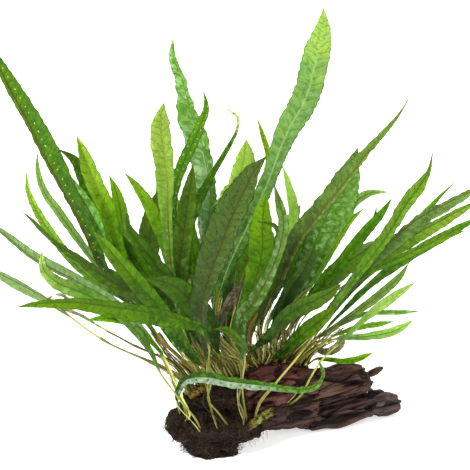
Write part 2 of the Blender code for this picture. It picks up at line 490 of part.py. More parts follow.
class Frond:
    """A stipe and its blade: a path of stations from foot to tip, and the sections along it."""

    def __init__(self, number, name, rhizome, along, width, bare, tip_back, colour, points, sunk):
        self.name = name
        self.width = width
        self.bare = bare
        self.colour = colour
        self.number = number
        self.turn = math.radians((-30, 18, -8, 32, -20, 8, 26, -14)[number % 8])
        self.twist = math.radians((24, -30, 16, -18, 30)[number % 5])
        path = rhizome_paths[rhizome]
        spot = feet[name] * (len(path) - 1)
        k = min(int(spot), len(path) - 2)
        middle = path[k].lerp(path[k + 1], spot - k)
        heading = (path[k + 1] - path[k]).normalized()
        start_back = middle.y / MM
        reach = [0.0]
        for a, b in zip(points, points[1:]):
            reach.append(reach[-1] + math.hypot(b[0] - a[0], b[1] - a[1]))
        first = math.hypot(points[0][0] - middle.x / MM, 20)
        route = []
        for point, distance in zip(points, reach):
            share = (first + distance) / (first + reach[-1])
            back = point[2] if len(point) > 2 else start_back + (tip_back - start_back) * share
            route.append(place(point[0], point[1], back))
        outward = route[0] - middle
        outward -= heading * outward.dot(heading) * 0.8
        outward = outward.normalized() + Vector((0, 0, UPWARD))
        around = outward - heading * outward.dot(heading)
        around.normalize()
        depth = RHIZOME_RADIUS * 0.4 if sunk else RHIZOME_RADIUS * 1.13 + GAP
        foot = middle + around * depth * MM
        route = [foot, foot + around * 5 * MM] + route
        length = sum((b - a).length for a, b in zip(route, route[1:]))
        self.stations = smooth_path(route, min(STATION_STEP * MM, length / LEAST_STATIONS))
        self.free_from = 2

    def half_width(self, share):
        """Half the frond's width at this share of its length."""
        stipe = STIPE_THICKNESS / 2 * (1 + 0.05 * math.cos(37 * share + self.number))
        if share < self.bare:
            return stipe
        along = (share - self.bare) / (1 - self.bare)
        widest = 0.60
        if along < widest:
            rise = along / widest
            swell = 0.38 * ease(rise / 0.3) + 0.62 * ease((rise - 0.1) / 0.9)
        else:
            swell = 1 - ((along - widest) / (1 - widest)) ** 2.2
        if self.name in OUTLINES:
            swell = along_outline(OUTLINES[self.name], along)
        full = self.width / 2 / math.cos(self.turn)
        return stipe * (1 - along) + max(0, full - stipe * (1 - along)) * swell + 0.3

    def rings(self, grow=0.0):
        """The sections: left edge, upper side, right edge and under side at each station."""
        stations = self.stations
        last = len(stations) - 1
        rings = []
        for i in range(last):
            share = i / last
            before, after = stations[max(i - 1, 0)], stations[i + 1]
            heading = (after - before).normalized()
            across = heading.cross(-SIGHT)
            if across.length < 0.3:
                across = heading.cross(Vector((0, 0, 1)))
            across.normalize()
            across.rotate(Matrix.Rotation(self.turn + self.twist * (share - 0.5), 3, heading))
            face = across.cross(heading).normalized()
            half = self.half_width(share)
            blade = min(1, max(0, (share - self.bare) / 0.15))
            thick = (STIPE_THICKNESS * (1 - blade) + BLADE_THICKNESS * blade) / 2 + grow
            fold = half * math.tan(BLADE_FOLD) * blade
            wave = self.width * RIPPLE * blade
            left_wave = wave * math.sin(5 * math.tau * share + self.number)
            right_wave = wave * math.sin(4 * math.tau * share + 2.3 * self.number)
            centre = stations[i]
            rings.append([
                centre + (-across * (half + grow) + face * (fold + left_wave)) * MM,
                centre + face * thick * MM,
                centre + (across * (half + grow) + face * (fold + right_wave)) * MM,
                centre - face * thick * MM,
            ])
        return rings

    def solid(self):
        """The frond's closed mesh."""
        return blade_loft(self.rings(), self.stations[-1])

    def tree(self):
        """The frond's faces, grown by the gap, for finding what it touches."""
        rings = self.rings(GAP)
        points = [p for ring in rings for p in ring] + [self.stations[-1]]
        faces = []
        for i in range(len(rings) - 1):
            for k in range(4):
                faces.append((4 * i + k, 4 * i + (k + 1) % 4, 4 * i + 4 + (k + 1) % 4, 4 * i + 4 + k))
        start = 4 * (len(rings) - 1)
        faces += [(start + k, start + (k + 1) % 4, len(points) - 1) for k in range(4)]
        return BVHTree.FromPolygons(points, faces)

    def push(self, face, shift):
        """Moves the stations near the face, less and less with distance, and never the foot."""
        middle = face // 4 + 0.5
        for i in range(self.free_from, len(self.stations)):
            near = math.exp(-((i - middle) / 1.8) ** 2)
            hold = min(1, (i - self.free_from + 1) / 3)
            self.stations[i] = self.stations[i] + shift * near * hold


def spaced(entries):
    """Where along its rhizome each frond sprouts, once crowded feet have moved apart."""
    places = {entry[0]: entry[2] for entry in entries}
    for rhizome, path in rhizome_paths.items():
        names = [entry[0] for entry in entries if entry[1] == rhizome]
        least = FOOT_SPACING * MM / sum((b - a).length for a, b in zip(path, path[1:]))
        for _ in range(200):
            names.sort(key=places.get)
            for near, far in zip(names, names[1:]):
                crowded = least - (places[far] - places[near])
                if crowded > 0:
                    places[near] = max(0, places[near] - crowded / 2)
                    places[far] = min(LAST_FOOT, places[far] + crowded / 2)
    return places


def ease_apart(fronds, fixed, rounds):
    """Leans fronds that touch round one another, along the line of sight, until none do. A pair
    that still touches after a while passes the other way round."""
    trees = [frond.tree() for frond in fronds]
    ways = {}
    for turn in range(rounds):
        moved = set()
        for a in range(len(fronds)):
            for b in range(a + 1, len(fronds)):
                hits = trees[a].overlap(trees[b])
                if not hits:
                    continue
                face_a, face_b = hits[len(hits) // 2]
                spot_a = fronds[a].stations[face_a // 4]
                spot_b = fronds[b].stations[face_b // 4]
                way = ways.setdefault((a, b), 1 if (spot_b - spot_a).dot(SIGHT) > 0 else -1)
                step = SIGHT * way * 0.5 * MM
                fronds[a].push(face_a, -step)
                fronds[b].push(face_b, step)
                moved |= {a, b}
            hits = [h for h in fixed.overlap(trees[a]) if h[1] // 4 > 0]
            if hits:
                face = hits[len(hits) // 2][1]
                near = fixed.find_nearest(fronds[a].stations[min(face // 4 + 1, len(fronds[a].stations) - 1)])
                fronds[a].push(face, near[1] * 0.6 * MM)
                moved.add(a)
        for k in moved:
            trees[k] = fronds[k].tree()
        if not moved:
            print("fronds clear after", turn, "rounds")
            return
        if turn % PATIENCE == PATIENCE - 1:
            for a, b in ways:
                if a in moved and trees[a].overlap(trees[b]):
                    ways[a, b] = -ways[a, b]
    print("fronds still touching:", sorted(fronds[k].name for k in moved))


def tree_of(meshes):
    """One search tree over several meshes."""
    points, faces = [], []
    for mesh in meshes:
        start = len(points)
        points += [v.co.copy() for v in mesh.vertices]
        faces += [tuple(start + k for k in polygon.vertices) for polygon in mesh.polygons]
    return BVHTree.FromPolygons(points, faces)


for leftover in list(bpy.data.objects):
    bpy.data.objects.remove(leftover)
collection = bpy.data.collections.new("java_fern_on_driftwood")
bpy.context.scene.collection.children.link(collection)

# The rhizomes, as they are and grown by the gap, as cutters.
rhizome_paths, rhizomes, rhizome_cutters = {}, {}, []
for name, points in RHIZOMES.items():
    path, mesh = rhizome_tube(name, points, RHIZOME_RADIUS)
    rhizome_paths[name] = path
    rhizomes[name] = new_object("rhizome_" + name, mesh, "rhizome")
    _, grown = rhizome_tube(name, points, RHIZOME_RADIUS + GAP)
    cutter = bpy.data.objects.new("cutter_" + name, grown)
    bpy.context.scene.collection.objects.link(cutter)
    rhizome_cutters.append(cutter)

# The driftwood, laid on the ground, with the rhizomes pressed into its bark.
wood = {}
for name, stations, seed in (("trunk", TRUNK, 0.0), ("upper_fork", UPPER_FORK, 1.7),
                             ("lower_fork", LOWER_FORK, 3.1), ("spur", SPUR, 5.3)):
    mesh = wood_limb(stations, seed=seed)
    if name == "lower_fork":
        cut_flat(mesh, 0)
    wood[name] = new_object("driftwood_" + name, mesh, "wood")
for limb in (wood["trunk"], wood["upper_fork"]):
    for cutter in rhizome_cutters:
        combine(limb, cutter, "DIFFERENCE")

# The root clump, round the trunk's left end and under the rhizomes.
clump = new_object("root_clump", root_clump(), "roots")
trunk_cutter = bpy.data.objects.new("cutter_trunk", wood_limb(TRUNK, grow=GAP + 0.2))
bpy.context.scene.collection.objects.link(trunk_cutter)
for cutter in [trunk_cutter] + rhizome_cutters:
    combine(clump, cutter, "DIFFERENCE")

# The fronds, leaned clear of each other and of the wood.
feet = spaced(FRONDS + YOUNG_FRONDS)
fronds = [Frond(i, *entry, sunk=False) for i, entry in enumerate(FRONDS)]
young = []
for i, entry in enumerate(YOUNG_FRONDS):
    young.append(Frond(len(FRONDS) + i, *entry[:6], "fresh", entry[6], sunk=True))
fixed = tree_of([body.data for body in [*wood.values(), clump, *rhizomes.values()]])
ease_apart(fronds + young, fixed, 1200)
for frond in fronds:
    new_object("frond_" + frond.name, frond.solid(), frond.colour)
for frond, entry in zip(young, YOUNG_FRONDS):
    sprout = bpy.data.objects.new("cutter_" + frond.name, frond.solid())
    bpy.context.scene.collection.objects.link(sprout)
    combine(rhizomes[entry[1]], sprout, "UNION")
    bpy.data.objects.remove(sprout)

for cutter in [trunk_cutter] + rhizome_cutters:
    bpy.data.objects.remove(cutter)
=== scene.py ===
"""Java fern on driftwood: the looks of the wood, the root clump, the rhizomes and the fronds.

Lengths named with _MM are millimetres, and MM turns them into metres. +Z is up, +X is to the right.
"""

import json
import math

import bmesh
import bpy
import numpy as np
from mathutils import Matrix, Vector, noise
from mathutils.bvhtree import BVHTree


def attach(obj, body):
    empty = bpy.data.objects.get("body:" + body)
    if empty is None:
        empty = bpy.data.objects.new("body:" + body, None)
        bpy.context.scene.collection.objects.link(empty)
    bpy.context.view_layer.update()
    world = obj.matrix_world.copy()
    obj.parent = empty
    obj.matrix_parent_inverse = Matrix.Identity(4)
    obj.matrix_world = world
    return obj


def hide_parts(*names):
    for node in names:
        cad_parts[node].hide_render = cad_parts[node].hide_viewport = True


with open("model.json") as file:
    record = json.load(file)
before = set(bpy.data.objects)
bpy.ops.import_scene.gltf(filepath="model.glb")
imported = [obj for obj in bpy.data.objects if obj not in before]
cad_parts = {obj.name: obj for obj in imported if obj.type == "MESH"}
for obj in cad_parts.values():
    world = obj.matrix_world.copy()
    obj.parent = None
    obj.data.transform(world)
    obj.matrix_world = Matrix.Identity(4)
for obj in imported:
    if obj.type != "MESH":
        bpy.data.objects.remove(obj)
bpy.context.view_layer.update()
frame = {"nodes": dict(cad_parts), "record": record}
scene = bpy.context.scene
MM = 0.001


# ---- Driftwood ----
# A short forked limb of dense bogwood, sunk in water until it went dark maroon and brown. It has
# split along its grain, and its ends are torn. The fern's rhizomes grip its left end.

WOOD_TURN = math.radians(28.8)
GRAIN_RISE = 0.11
GRAIN = Vector((math.cos(WOOD_TURN), math.sin(WOOD_TURN), GRAIN_RISE)).normalized()
ACROSS_GRAIN = Vector((-GRAIN.y, GRAIN.x, 0)).normalized()
WOOD_VOXEL_MM = 0.7
WOOD_GROW_MM = 0.75
WELD = 1e-6
SEAM_WELD = 2e-6

# The viewer looks down on the plant at this angle. A place in the picture is given by how far it is
# across, and how far up square to the sight line from the front edge of the clump's base.
SIGHT_TILT = math.radians(17)
SIGHT = Vector((0, math.cos(SIGHT_TILT), -math.sin(SIGHT_TILT)))
BASE_FRONT_MM = -25

# Torn-out hollows, and smooth knobs that the grain flows round, on the wood's near side: across and
# up, half their length along the grain, half their height, and how deep or how far out they are.
WOOD_HOLLOWS_MM = [(51, 26.0, 8.5, 3.6, 4.2), (58, 36.6, 6.5, 1.5, 3.0), (73, 35.2, 6.5, 1.4, 3.0),
                   (94.5, 31.0, 4.0, 2.4, 2.6), (66, 30.5, 9.0, 1.0, 1.6), (84, 44.5, 7.0, 1.2, 1.8)]
WOOD_KNOBS_MM = [(39.5, 32.5, 5.5, 7.5, 2.6), (28, 50, 9, 6, 1.6), (101, 35, 6, 5, 1.2)]
SPOT_SLOPE = 0.22


def new_mesh(name, bm):
    """A mesh made from a bmesh that isn't needed any more."""
    mesh = bpy.data.meshes.new(name)
    bm.to_mesh(mesh)
    bm.free()
    return mesh


def marked(mesh, name, vectors):
    """The mesh with three numbers at each point, for its finish."""
    marks = mesh.attributes.new(name, "FLOAT_VECTOR", "POINT")
    marks.data.foreach_set("vector", np.array(vectors, "f").ravel())
    return mesh


def new_object(name, data):
    """An object in the scene, at the origin."""
    added = bpy.data.objects.new(name, data)
    scene.collection.objects.link(added)
    return added


def new_piece(name, mesh, material):
    """A piece of the plant, which rides on the one body."""
    piece = new_object(name, mesh)
    mesh.materials.append(material)
    mesh.shade_smooth()
    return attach(piece, "root")


def merged_solids(*nodes):
    """The surfaces of CAD nodes as one bmesh, each with its loose triangles merged."""
    bm = bmesh.new()
    for node in nodes:
        bm.from_mesh(frame["nodes"][node].data)
    bmesh.ops.remove_doubles(bm, verts=bm.verts, dist=WELD)
    return bm


SMOOTHING_ROUNDS = 4
EVERY_AXIS = dict(use_axis_x=True, use_axis_y=True, use_axis_z=True)


def remeshed(bm, voxel_mm):
    """One closed, even skin over the solids, with its facets smoothed away."""
    skin = new_object("skin", new_mesh("skin", bm))
    remesh = skin.modifiers.new("remesh", "REMESH")
    remesh.mode = "VOXEL"
    remesh.voxel_size = voxel_mm * MM
    bm = bmesh.new()
    bm.from_object(skin, bpy.context.evaluated_depsgraph_get())
    bpy.data.objects.remove(skin)
    for _ in range(SMOOTHING_ROUNDS):
        bmesh.ops.smooth_vert(bm, verts=bm.verts, factor=0.5, **EVERY_AXIS)
    bm.normal_update()
    return bm


def picture_place(spot):
    """How far across and how far up in the picture a place is, in millimetres."""
    across, back, height = (part / MM for part in spot)
    return across, height * math.cos(SIGHT_TILT) + (back - BASE_FRONT_MM) * math.sin(SIGHT_TILT)


def within(spots, across, up):
    """How far inside the deepest of these spots a place is, and that spot's own depth there."""
    best, depth = 0.0, 0.0
    for middle, height, half_length, half_height, deep in spots:
        above = up - height - (across - middle) * SPOT_SLOPE
        inside = 1 - ((across - middle) / half_length) ** 2 - (above / half_height) ** 2
        if inside > best:
            best, depth = inside, deep * min(1.0, inside * 1.6)
    return best, depth


def rise(value, start, span):
    """A share that climbs from 0 at the start to 1 a span further on."""
    return min(1.0, max(0.0, (value - start) / span))


def grain_noise(u, v, w, long_mm, fine_mm, seed):
    """Noise that is drawn out along the wood's grain, from -1 to 1."""
    return noise.noise(Vector((u / long_mm + seed, v / fine_mm, w / fine_mm - seed)))


def crack(u, v, w, long_mm, fine_mm, seed, sharpness):
    """1 in the middle of a split along the grain, falling to 0 beside it."""
    return max(0.0, 1 - abs(grain_noise(u, v, w, long_mm, fine_mm, seed)) * sharpness)


def rgb(code):
    """A colour written as on a paint chart, as the linear values that a shader takes."""
    parts = [int(code[i:i + 2], 16) / 255 for i in (0, 2, 4)]
    return (*[p / 12.92 if p <= 0.04045 else ((p + 0.055) / 1.055) ** 2.4 for p in parts], 1.0)


class Finish:
    """A procedural material, built up a node at a time from the surface's own attributes."""

    def __init__(self, name):
        self.material = bpy.data.materials.new(name)
        self.material.use_nodes = True
        self.nodes = self.material.node_tree.nodes
        self.shader = self.nodes["Principled BSDF"]
        self.shader.inputs["Specular IOR Level"].default_value = 0.13

    def link(self, value, socket):
        """Feeds a socket from another node's output, or with a number or a paint chart's colour."""
        if isinstance(value, bpy.types.NodeSocket):
            self.material.node_tree.links.new(value, socket)
        else:
            socket.default_value = rgb(value) if isinstance(value, str) else value

    def add(self, kind, inputs, output=0, **settings):
        """A node with these inputs, each a number, a colour or another node's output."""
        node = self.nodes.new("ShaderNode" + kind)
        for name, value in settings.items():
            setattr(node, name, value)
        for socket, value in inputs.items():
            self.link(value, node.inputs[socket])
        return node.outputs[output]

    def math(self, operation, *values):
        return self.add("Math", dict(enumerate(values)), operation=operation)

    def times(self, first, *others):
        for other in others:
            first = self.math("MULTIPLY", first, other)
        return first

    def plus(self, first, *others):
        for other in others:
            first = self.math("ADD", first, other)
        return first

    def minus(self, first, second):
        return self.math("SUBTRACT", first, second)

    def size(self, value):
        return self.math("ABSOLUTE", value)

    def blend(self, share, first, second):
        """The first colour, turned to the second by this share."""
        return self.add("Mix", {0: share, 6: first, 7: second}, 2, data_type="RGBA")

    def paint(self, share, colour):
        """Turns the skin's colour so far to this one by this share."""
        self.colour = self.blend(share, self.colour, colour)

    def band(self, value, low, high, to_low=0.0, to_high=1.0):
        """A soft step: to_low below low, to_high above high."""
        inputs = {0: value, 1: low, 2: high, 3: to_low, 4: to_high}
        return self.add("MapRange", inputs, interpolation_type="SMOOTHSTEP")

    def noise(self, place, scale, detail=3.0, roughness=0.55):
        return self.add("TexNoise", {0: place, "Scale": scale, "Detail": detail, "Roughness": roughness})

    def place(self):
        return self.add("TexCoord", {}, "Object")

    def marks(self, name):
        """The three numbers that the surface carries under this name."""
        return self.parts(self.attribute(name))

    def attribute(self, name, output="Vector"):
        return self.add("Attribute", {}, output, attribute_name=name)

    def parts(self, vector):
        node = self.nodes.new("ShaderNodeSeparateXYZ")
        self.link(vector, node.inputs[0])
        return node.outputs

    def bump(self, height, depth_mm, normal=None):
        inputs = {"Height": height, "Distance": depth_mm * MM, "Strength": 1.0}
        if normal:
            inputs["Normal"] = normal
        return self.add("Bump", inputs)

    def wear(self, roughness, normal):
        """Joins the finished channels to the surface shader."""
        self.link(self.colour, self.shader.inputs["Base Color"])
        self.link(roughness, self.shader.inputs["Roughness"])
        self.link(normal, self.shader.inputs["Normal"])
        return self.material


def driftwood_finish():
    look = Finish("driftwood_weathered")
    place = look.place()
    turned = look.add("Mapping", {"Vector": place, "Rotation": (0, math.atan(GRAIN_RISE), -WOOD_TURN)})
    fibres = look.add("Mapping", {"Vector": turned, "Scale": (48, 640, 640)})
    broad = look.add("Mapping", {"Vector": turned, "Scale": (24, 120, 120)})
    fine = look.noise(fibres, 1.0, 5.0, 0.65)
    patches = look.noise(broad, 1.0)
    crevice_shade, red, grey = look.marks("wood")
    look.colour = look.blend(look.band(patches, 0.36, 0.66), "3E2720", "66483A")
    look.paint(look.times(red, look.band(patches, 0.25, 0.6, 0.6, 0.95)), "602A28")
    # Painted shade: the wood darker low down, near the floor.
    look.paint(look.band(look.parts(place)[2], 0.028, 0.014, 0.0, 0.65), "2E2522")
    look.paint(look.times(grey, 0.8), "564844")
    look.paint(look.band(fine, 0.48, 0.68, 0.0, 0.5), "6E5546")
    look.paint(look.band(fine, 0.50, 0.36, 0.0, 0.75), "140D0B")
    # Painted shade: near black in the splits, the grooves between ridges and the torn-out hollows.
    look.paint(look.band(crevice_shade, 0.12, 0.7, 0.0, 0.85), "0B0706")
    return look.wear(look.band(fine, 0.3, 0.7, 0.55, 0.82), look.bump(fine, 0.9, look.bump(patches, 1.2)))


solids = merged_solids("driftwood_trunk", "driftwood_upper_fork", "driftwood_lower_fork")
solids.normal_update()
for vert in solids.verts:
    vert.co += vert.normal * (WOOD_GROW_MM * MM)
solids.from_mesh(frame["nodes"]["driftwood_spur"].data)
bm = remeshed(solids, WOOD_VOXEL_MM)
wood_marks = []
for vert in bm.verts:
    u, v = vert.co.dot(GRAIN) / MM, vert.co.dot(ACROSS_GRAIN) / MM
    w = vert.co.z / MM - vert.co.x / MM * GRAIN_RISE
    end_on = abs(vert.normal.dot(GRAIN))
    facing = min(1.0, max(0.0, -vert.normal.dot(SIGHT) * 2.2))
    across, up = picture_place(vert.co)
    _, sunk = within(WOOD_HOLLOWS_MM, across, up)
    smooth, raised = within(WOOD_KNOBS_MM, across, up)
    calm = 1 - 0.8 * min(1.0, smooth * 2) * facing
    lumps = 1.7 * grain_noise(u, v, w, 24, 13, 3.1) + 0.9 * grain_noise(u, v, w, 9, 7, 8.4)
    ridges = 1.6 * grain_noise(u, v, w, 46, 4.6, 1.7) + 0.8 * grain_noise(u, v, w, 22, 2.2, 5.2)
    split = max(crack(u, v, w, 60, 9.5, 11.3, 7.0), 0.8 * crack(u, v, w, 38, 5.2, 6.6, 8.0)) * calm
    splinters = 0.45 * grain_noise(u, v, w, 16, 1.1, 2.9)
    out = lumps + (ridges * (1 - 0.6 * end_on) + splinters) * calm - 3.2 * split * (1 - 0.7 * end_on)
    out += (raised - sunk) * facing
    torn = 4.2 * grain_noise(u, v, w, 60, 3.0, 4.4) + 1.6 * grain_noise(u, v, w, 60, 1.3, 7.7)
    vert.co += vert.normal * (out * MM) + GRAIN * (torn * end_on ** 2 * MM)
    vert.co.z = max(vert.co.z, 0.0)
    red = rise(across, 6, 8) * rise(across, 66, -26) * max(0.25, rise(up, 20, 22))
    grey = rise(across, 86, 12) * rise(up, 44, -8) + 0.6 * smooth * (across > 30)
    # The wood's marks: painted shade for its splits, grooves and hollows, then its red and its grey.
    wood_marks.append((split + 0.5 * max(0.0, -ridges) + 0.45 * sunk * facing, red, min(1, grey)))
driftwood_mesh = marked(new_mesh("driftwood", bm), "wood", wood_marks)
driftwood = new_piece("driftwood", driftwood_mesh, driftwood_finish())
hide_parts("driftwood_trunk", "driftwood_upper_fork", "driftwood_lower_fork", "driftwood_spur")


# ---- Root clump ----
# A dense mat of dark, wiry roots round the wood's left end, cut off flat below. Thousands of thin
# roots run over it and into each other, and short loose ones stand off at its sides.

CLUMP_VOXEL_MM = 0.9
MAT_ROOTS = 1500
STRONG_ROOTS = 260
LOOSE_ROOTS = 560
GRIPPED_TO_X_MM = 36
LOOSE_TO_HEIGHT_MM = 30
# The mat swells along this line, under the front rhizome.
MAT_RIDGE_MM = [(-21, -14, 23.5), (-12, -22, 17), (0, -24.5, 16), (12, -23, 17.5), (18, -18.5, 18.2)]
MAT_RIDGE_RADIUS_MM = 4.1
roots_random = np.random.default_rng(41)


def wire_mesh(name, runs, sides):
    """Joined thin tubes, one for each run of (place, radius) points, with closed ends."""
    bm = bmesh.new()
    angles = [math.tau * k / sides for k in range(sides)]
    spokes = [Vector((math.cos(angle), math.sin(angle), 0)) for angle in angles]
    for run in runs:
        rings = []
        for i, (here, radius) in enumerate(run):
            before, after = run[max(i - 1, 0)][0], run[min(i + 1, len(run) - 1)][0]
            turn = Vector((0, 0, 1)).rotation_difference((after - before).normalized())
            rings.append([bm.verts.new(here + (turn @ spoke) * radius) for spoke in spokes])
        for low, high in zip(rings, rings[1:]):
            for k in range(sides):
                bm.faces.new((low[k], low[k - sides + 1], high[k - sides + 1], high[k]))
        bm.faces.new(rings[0][::-1])
        bm.faces.new(rings[-1])
    return new_mesh(name, bm)


def shaded(mesh, shades):
    """The mesh with a shade from 0 to 1 at each point."""
    mesh.attributes.new("shade", "FLOAT", "POINT").data.foreach_set("value", np.array(shades, "f"))
    return mesh


def fibre_mesh(name, runs, shades, sides=3):
    """Thin tubes along the runs, each with a shade of its own."""
    return shaded(wire_mesh(name, runs, sides), np.repeat(shades, [sides * len(run) for run in runs]))


def roots_finish(name, dark, light, lift):
    look = Finish(name)
    place = look.place()
    speckle = look.noise(place, 700.0, 4.0, 0.7)
    clouds = look.noise(place, 110.0, 2.0)
    tone = look.plus(look.times(look.attribute("shade", "Fac"), 0.75), look.times(clouds, 0.35))
    look.colour = look.blend(look.band(tone, 0.25, 0.95), dark, light)
    look.paint(look.band(speckle, 0.45, 0.75, 0.0, 0.5), lift)
    return look.wear(look.band(speckle, 0.3, 0.7, 0.5, 0.85), look.bump(speckle, 0.35))


solids = merged_solids("root_clump")
ridge = [(Vector(spot) * MM, MAT_RIDGE_RADIUS_MM * MM) for spot in MAT_RIDGE_MM]
solids.from_mesh(wire_mesh("mat_ridge", [ridge], 12))
bm = remeshed(solids, CLUMP_VOXEL_MM)
clump_shades = []
for vert in bm.verts:
    place = vert.co / MM
    lumps = 3.0 * noise.noise(place / 11) + 2.6 * noise.noise(place / 5 + Vector((7, 0, 0)))
    strands = abs(noise.noise(Vector((place.x / 2.2, place.y / 2.2, place.z / 4.5))))
    pit = max(0.0, noise.noise(place / 6 + Vector((0, 9, 4))) - 0.15) * 7
    if vert.normal.z > -0.9 and place.z > 0.4:
        vert.co += vert.normal * ((lumps + 1.4 * strands - 0.7 - pit) * MM)
    vert.co.z = max(vert.co.z, 0.0)
    clump_shades.append(min(1.0, 0.15 + strands))
clump_mesh = bpy.data.meshes.new("root_clump_mat")
bm.to_mesh(clump_mesh)
clump_faces = [(f.calc_center_median(), f.normal.copy()) for f in bm.faces if f.normal.z > -0.7]
bm.from_mesh(driftwood_mesh)
root_tree = BVHTree.FromBMesh(bm)
gripped_faces = [(f.calc_center_median(), f.normal.copy()) for f in bm.faces
                 if f.normal.z > -0.5 and f.calc_center_median().x < GRIPPED_TO_X_MM * MM]
bm.free()
mat_look = roots_finish("root_mat", "0A0704", "1D160D", "2C2318")
clump = new_piece("root_clump_mat", shaded(clump_mesh, clump_shades), mat_look)
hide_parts("root_clump")


def laid_on(normal, way):
    """The direction, turned flat against the surface."""
    return (way - normal * way.dot(normal)).normalized()


def creeping_root(start, normal, steps, step_mm, radius_mm, lift_mm):
    """The run of one root that feels its way over the mat, dipping in and out of it."""
    way = laid_on(normal, Vector(roots_random.normal(size=3)))
    run, here = [], start
    for i in range(steps):
        lift = lift_mm * (0.35 + 0.65 * noise.noise(here / MM / 3))
        thin = 1 - 0.6 * i / steps
        run.append((here + normal * (lift * MM), radius_mm * thin * MM))
        way = (way + Vector(roots_random.normal(size=3)) * 0.42 + Vector((0, 0, -0.06))).normalized()
        way = laid_on(normal, way)
        here, normal, _, _ = root_tree.find_nearest(here + way * (step_mm * MM))
    low = radius_mm * MM
    return [(Vector((p.x, p.y, max(p.z, low))), r) for p, r in run]


def loose_root(start, normal, steps, step_mm, radius_mm):
    """The run of one root that stands off from the clump's side and droops."""
    way = (normal * Vector((1, 1, 0.35)) + Vector(roots_random.normal(size=3)) * 0.35).normalized()
    run, here = [(start - normal * (0.8 * MM), radius_mm * MM)], start
    for i in range(steps):
        run.append((here, radius_mm * (1 - 0.75 * i / steps) * MM))
        way = (way + Vector(roots_random.normal(size=3)) * 0.30 + Vector((0, 0, -0.16))).normalized()
        here = here + way * (step_mm * MM)
        here.z = max(here.z, radius_mm * MM)
    return run


runs, shades = [], []
for number in range(MAT_ROOTS):
    faces = clump_faces if number % 4 else gripped_faces
    centre, normal = faces[roots_random.integers(len(faces))]
    steps = int(roots_random.integers(9, 17))
    radius = float(roots_random.choice([0.15, 0.2, 0.27, 0.38], p=[0.3, 0.35, 0.25, 0.1]))
    runs.append(creeping_root(centre, normal, steps, step_mm=1.5, radius_mm=radius, lift_mm=1.3))
    shades.append(float(roots_random.random()) ** 1.8)
root_look = roots_finish("root_fibre", "140E0A", "463628", "7A6242")
mat_roots = new_piece("root_mat_fibres", fibre_mesh("root_mat_fibres", runs, shades), root_look)

runs, shades = [], []
for number in range(STRONG_ROOTS):
    faces = clump_faces if number % 3 else gripped_faces
    centre, normal = faces[roots_random.integers(len(faces))]
    steps = int(roots_random.integers(12, 22))
    radius = float(roots_random.uniform(0.35, 0.65))
    runs.append(creeping_root(centre, normal, steps, step_mm=1.7, radius_mm=radius, lift_mm=1.0))
    shades.append(float(roots_random.random()) ** 1.5)
strong_mesh = fibre_mesh("root_strong_fibres", runs, shades, sides=6)
strong_look = roots_finish("root_strong", "120C09", "35271D", "4F3F2E")
strong_roots = new_piece("root_strong_fibres", strong_mesh, strong_look)

runs, shades = [], []
while len(runs) < LOOSE_ROOTS:
    centre, normal = clump_faces[roots_random.integers(len(clump_faces))]
    if centre.z > LOOSE_TO_HEIGHT_MM * MM or normal.z > 0.6:
        continue
    steps = int(roots_random.integers(4, 12))
    radius = float(roots_random.uniform(0.12, 0.30))
    runs.append(loose_root(centre, normal, steps, step_mm=0.9, radius_mm=radius))
    shades.append(float(roots_random.random()))
loose_roots = new_piece("root_loose_fibres", fibre_mesh("root_loose_fibres", runs, shades), root_look)


# ---- Rhizomes ----
# Three creeping stems, between 5 and 6 mm thick, that cling to the clump and the wood. They are dark
# and clothed in small dry brown scales, rusty at the left, and olive green where the front one is
# bare. The fronds grow from them.

RHIZOME_RADIUS_MM = 2.8
RHIZOME_STEP_MM = 0.7
RHIZOME_SIDES = 28
RHIZOME_ROUTES_MM = {
    "front": [(-21, -14, 23.5), (-12, -22, 17), (0, -24.5, 16), (12, -23, 17.5), (21, -16, 18.5),
              (33, -1, 22), (45, 7.5, 21)],
    "middle": [(-16, -4, 33), (-4, 2, 36.5), (10, 9, 39.5), (24, 18, 43.3), (38, 28, 43), (56, 39, 36.5)],
    "back": [(-12, 18, 33), (4, 25, 35), (20, 33, 38), (36, 42, 38), (50, 50, 31)],
}
SCALES_PER_MM = 5.5
TRACK_STEP = 1 / 16
BARE_RHIZOME_MM = (20, 36)
CROWN_TO_X_MM = -5
rhizome_random = np.random.default_rng(7)


def run_lengths(places):
    """How far along the line through the places each of them lies."""
    return np.concatenate([[0], np.cumsum(np.linalg.norm(np.diff(places, axis=0), axis=1))])


def even_track(points):
    """Closely spaced parameters along the curve through the points, and how far along each one lies."""
    params = np.arange(0, len(points) - 1 + 1e-9, TRACK_STEP)
    return params, run_lengths(along_track(points, params))


def along_track(points, params):
    """Places on the Catmull-Rom curve through the points, at parameters that count the points."""
    points = np.asarray(points, float)
    padded = np.vstack([2 * points[0] - points[1], points, 2 * points[-1] - points[-2]])
    span = np.clip(np.floor(params).astype(int), 0, len(points) - 2)
    t = (params - span)[:, None]
    a, b, c, d = (padded[span + k] for k in range(4))
    bend = (2 * a - 5 * b + 4 * c - d) * t ** 2
    twist = (3 * b - a - 3 * c + d) * t ** 3
    return 0.5 * (2 * b + (c - a) * t + bend + twist)


def unit(vectors):
    return vectors / np.maximum(np.linalg.norm(vectors, axis=-1, keepdims=True), 1e-12)


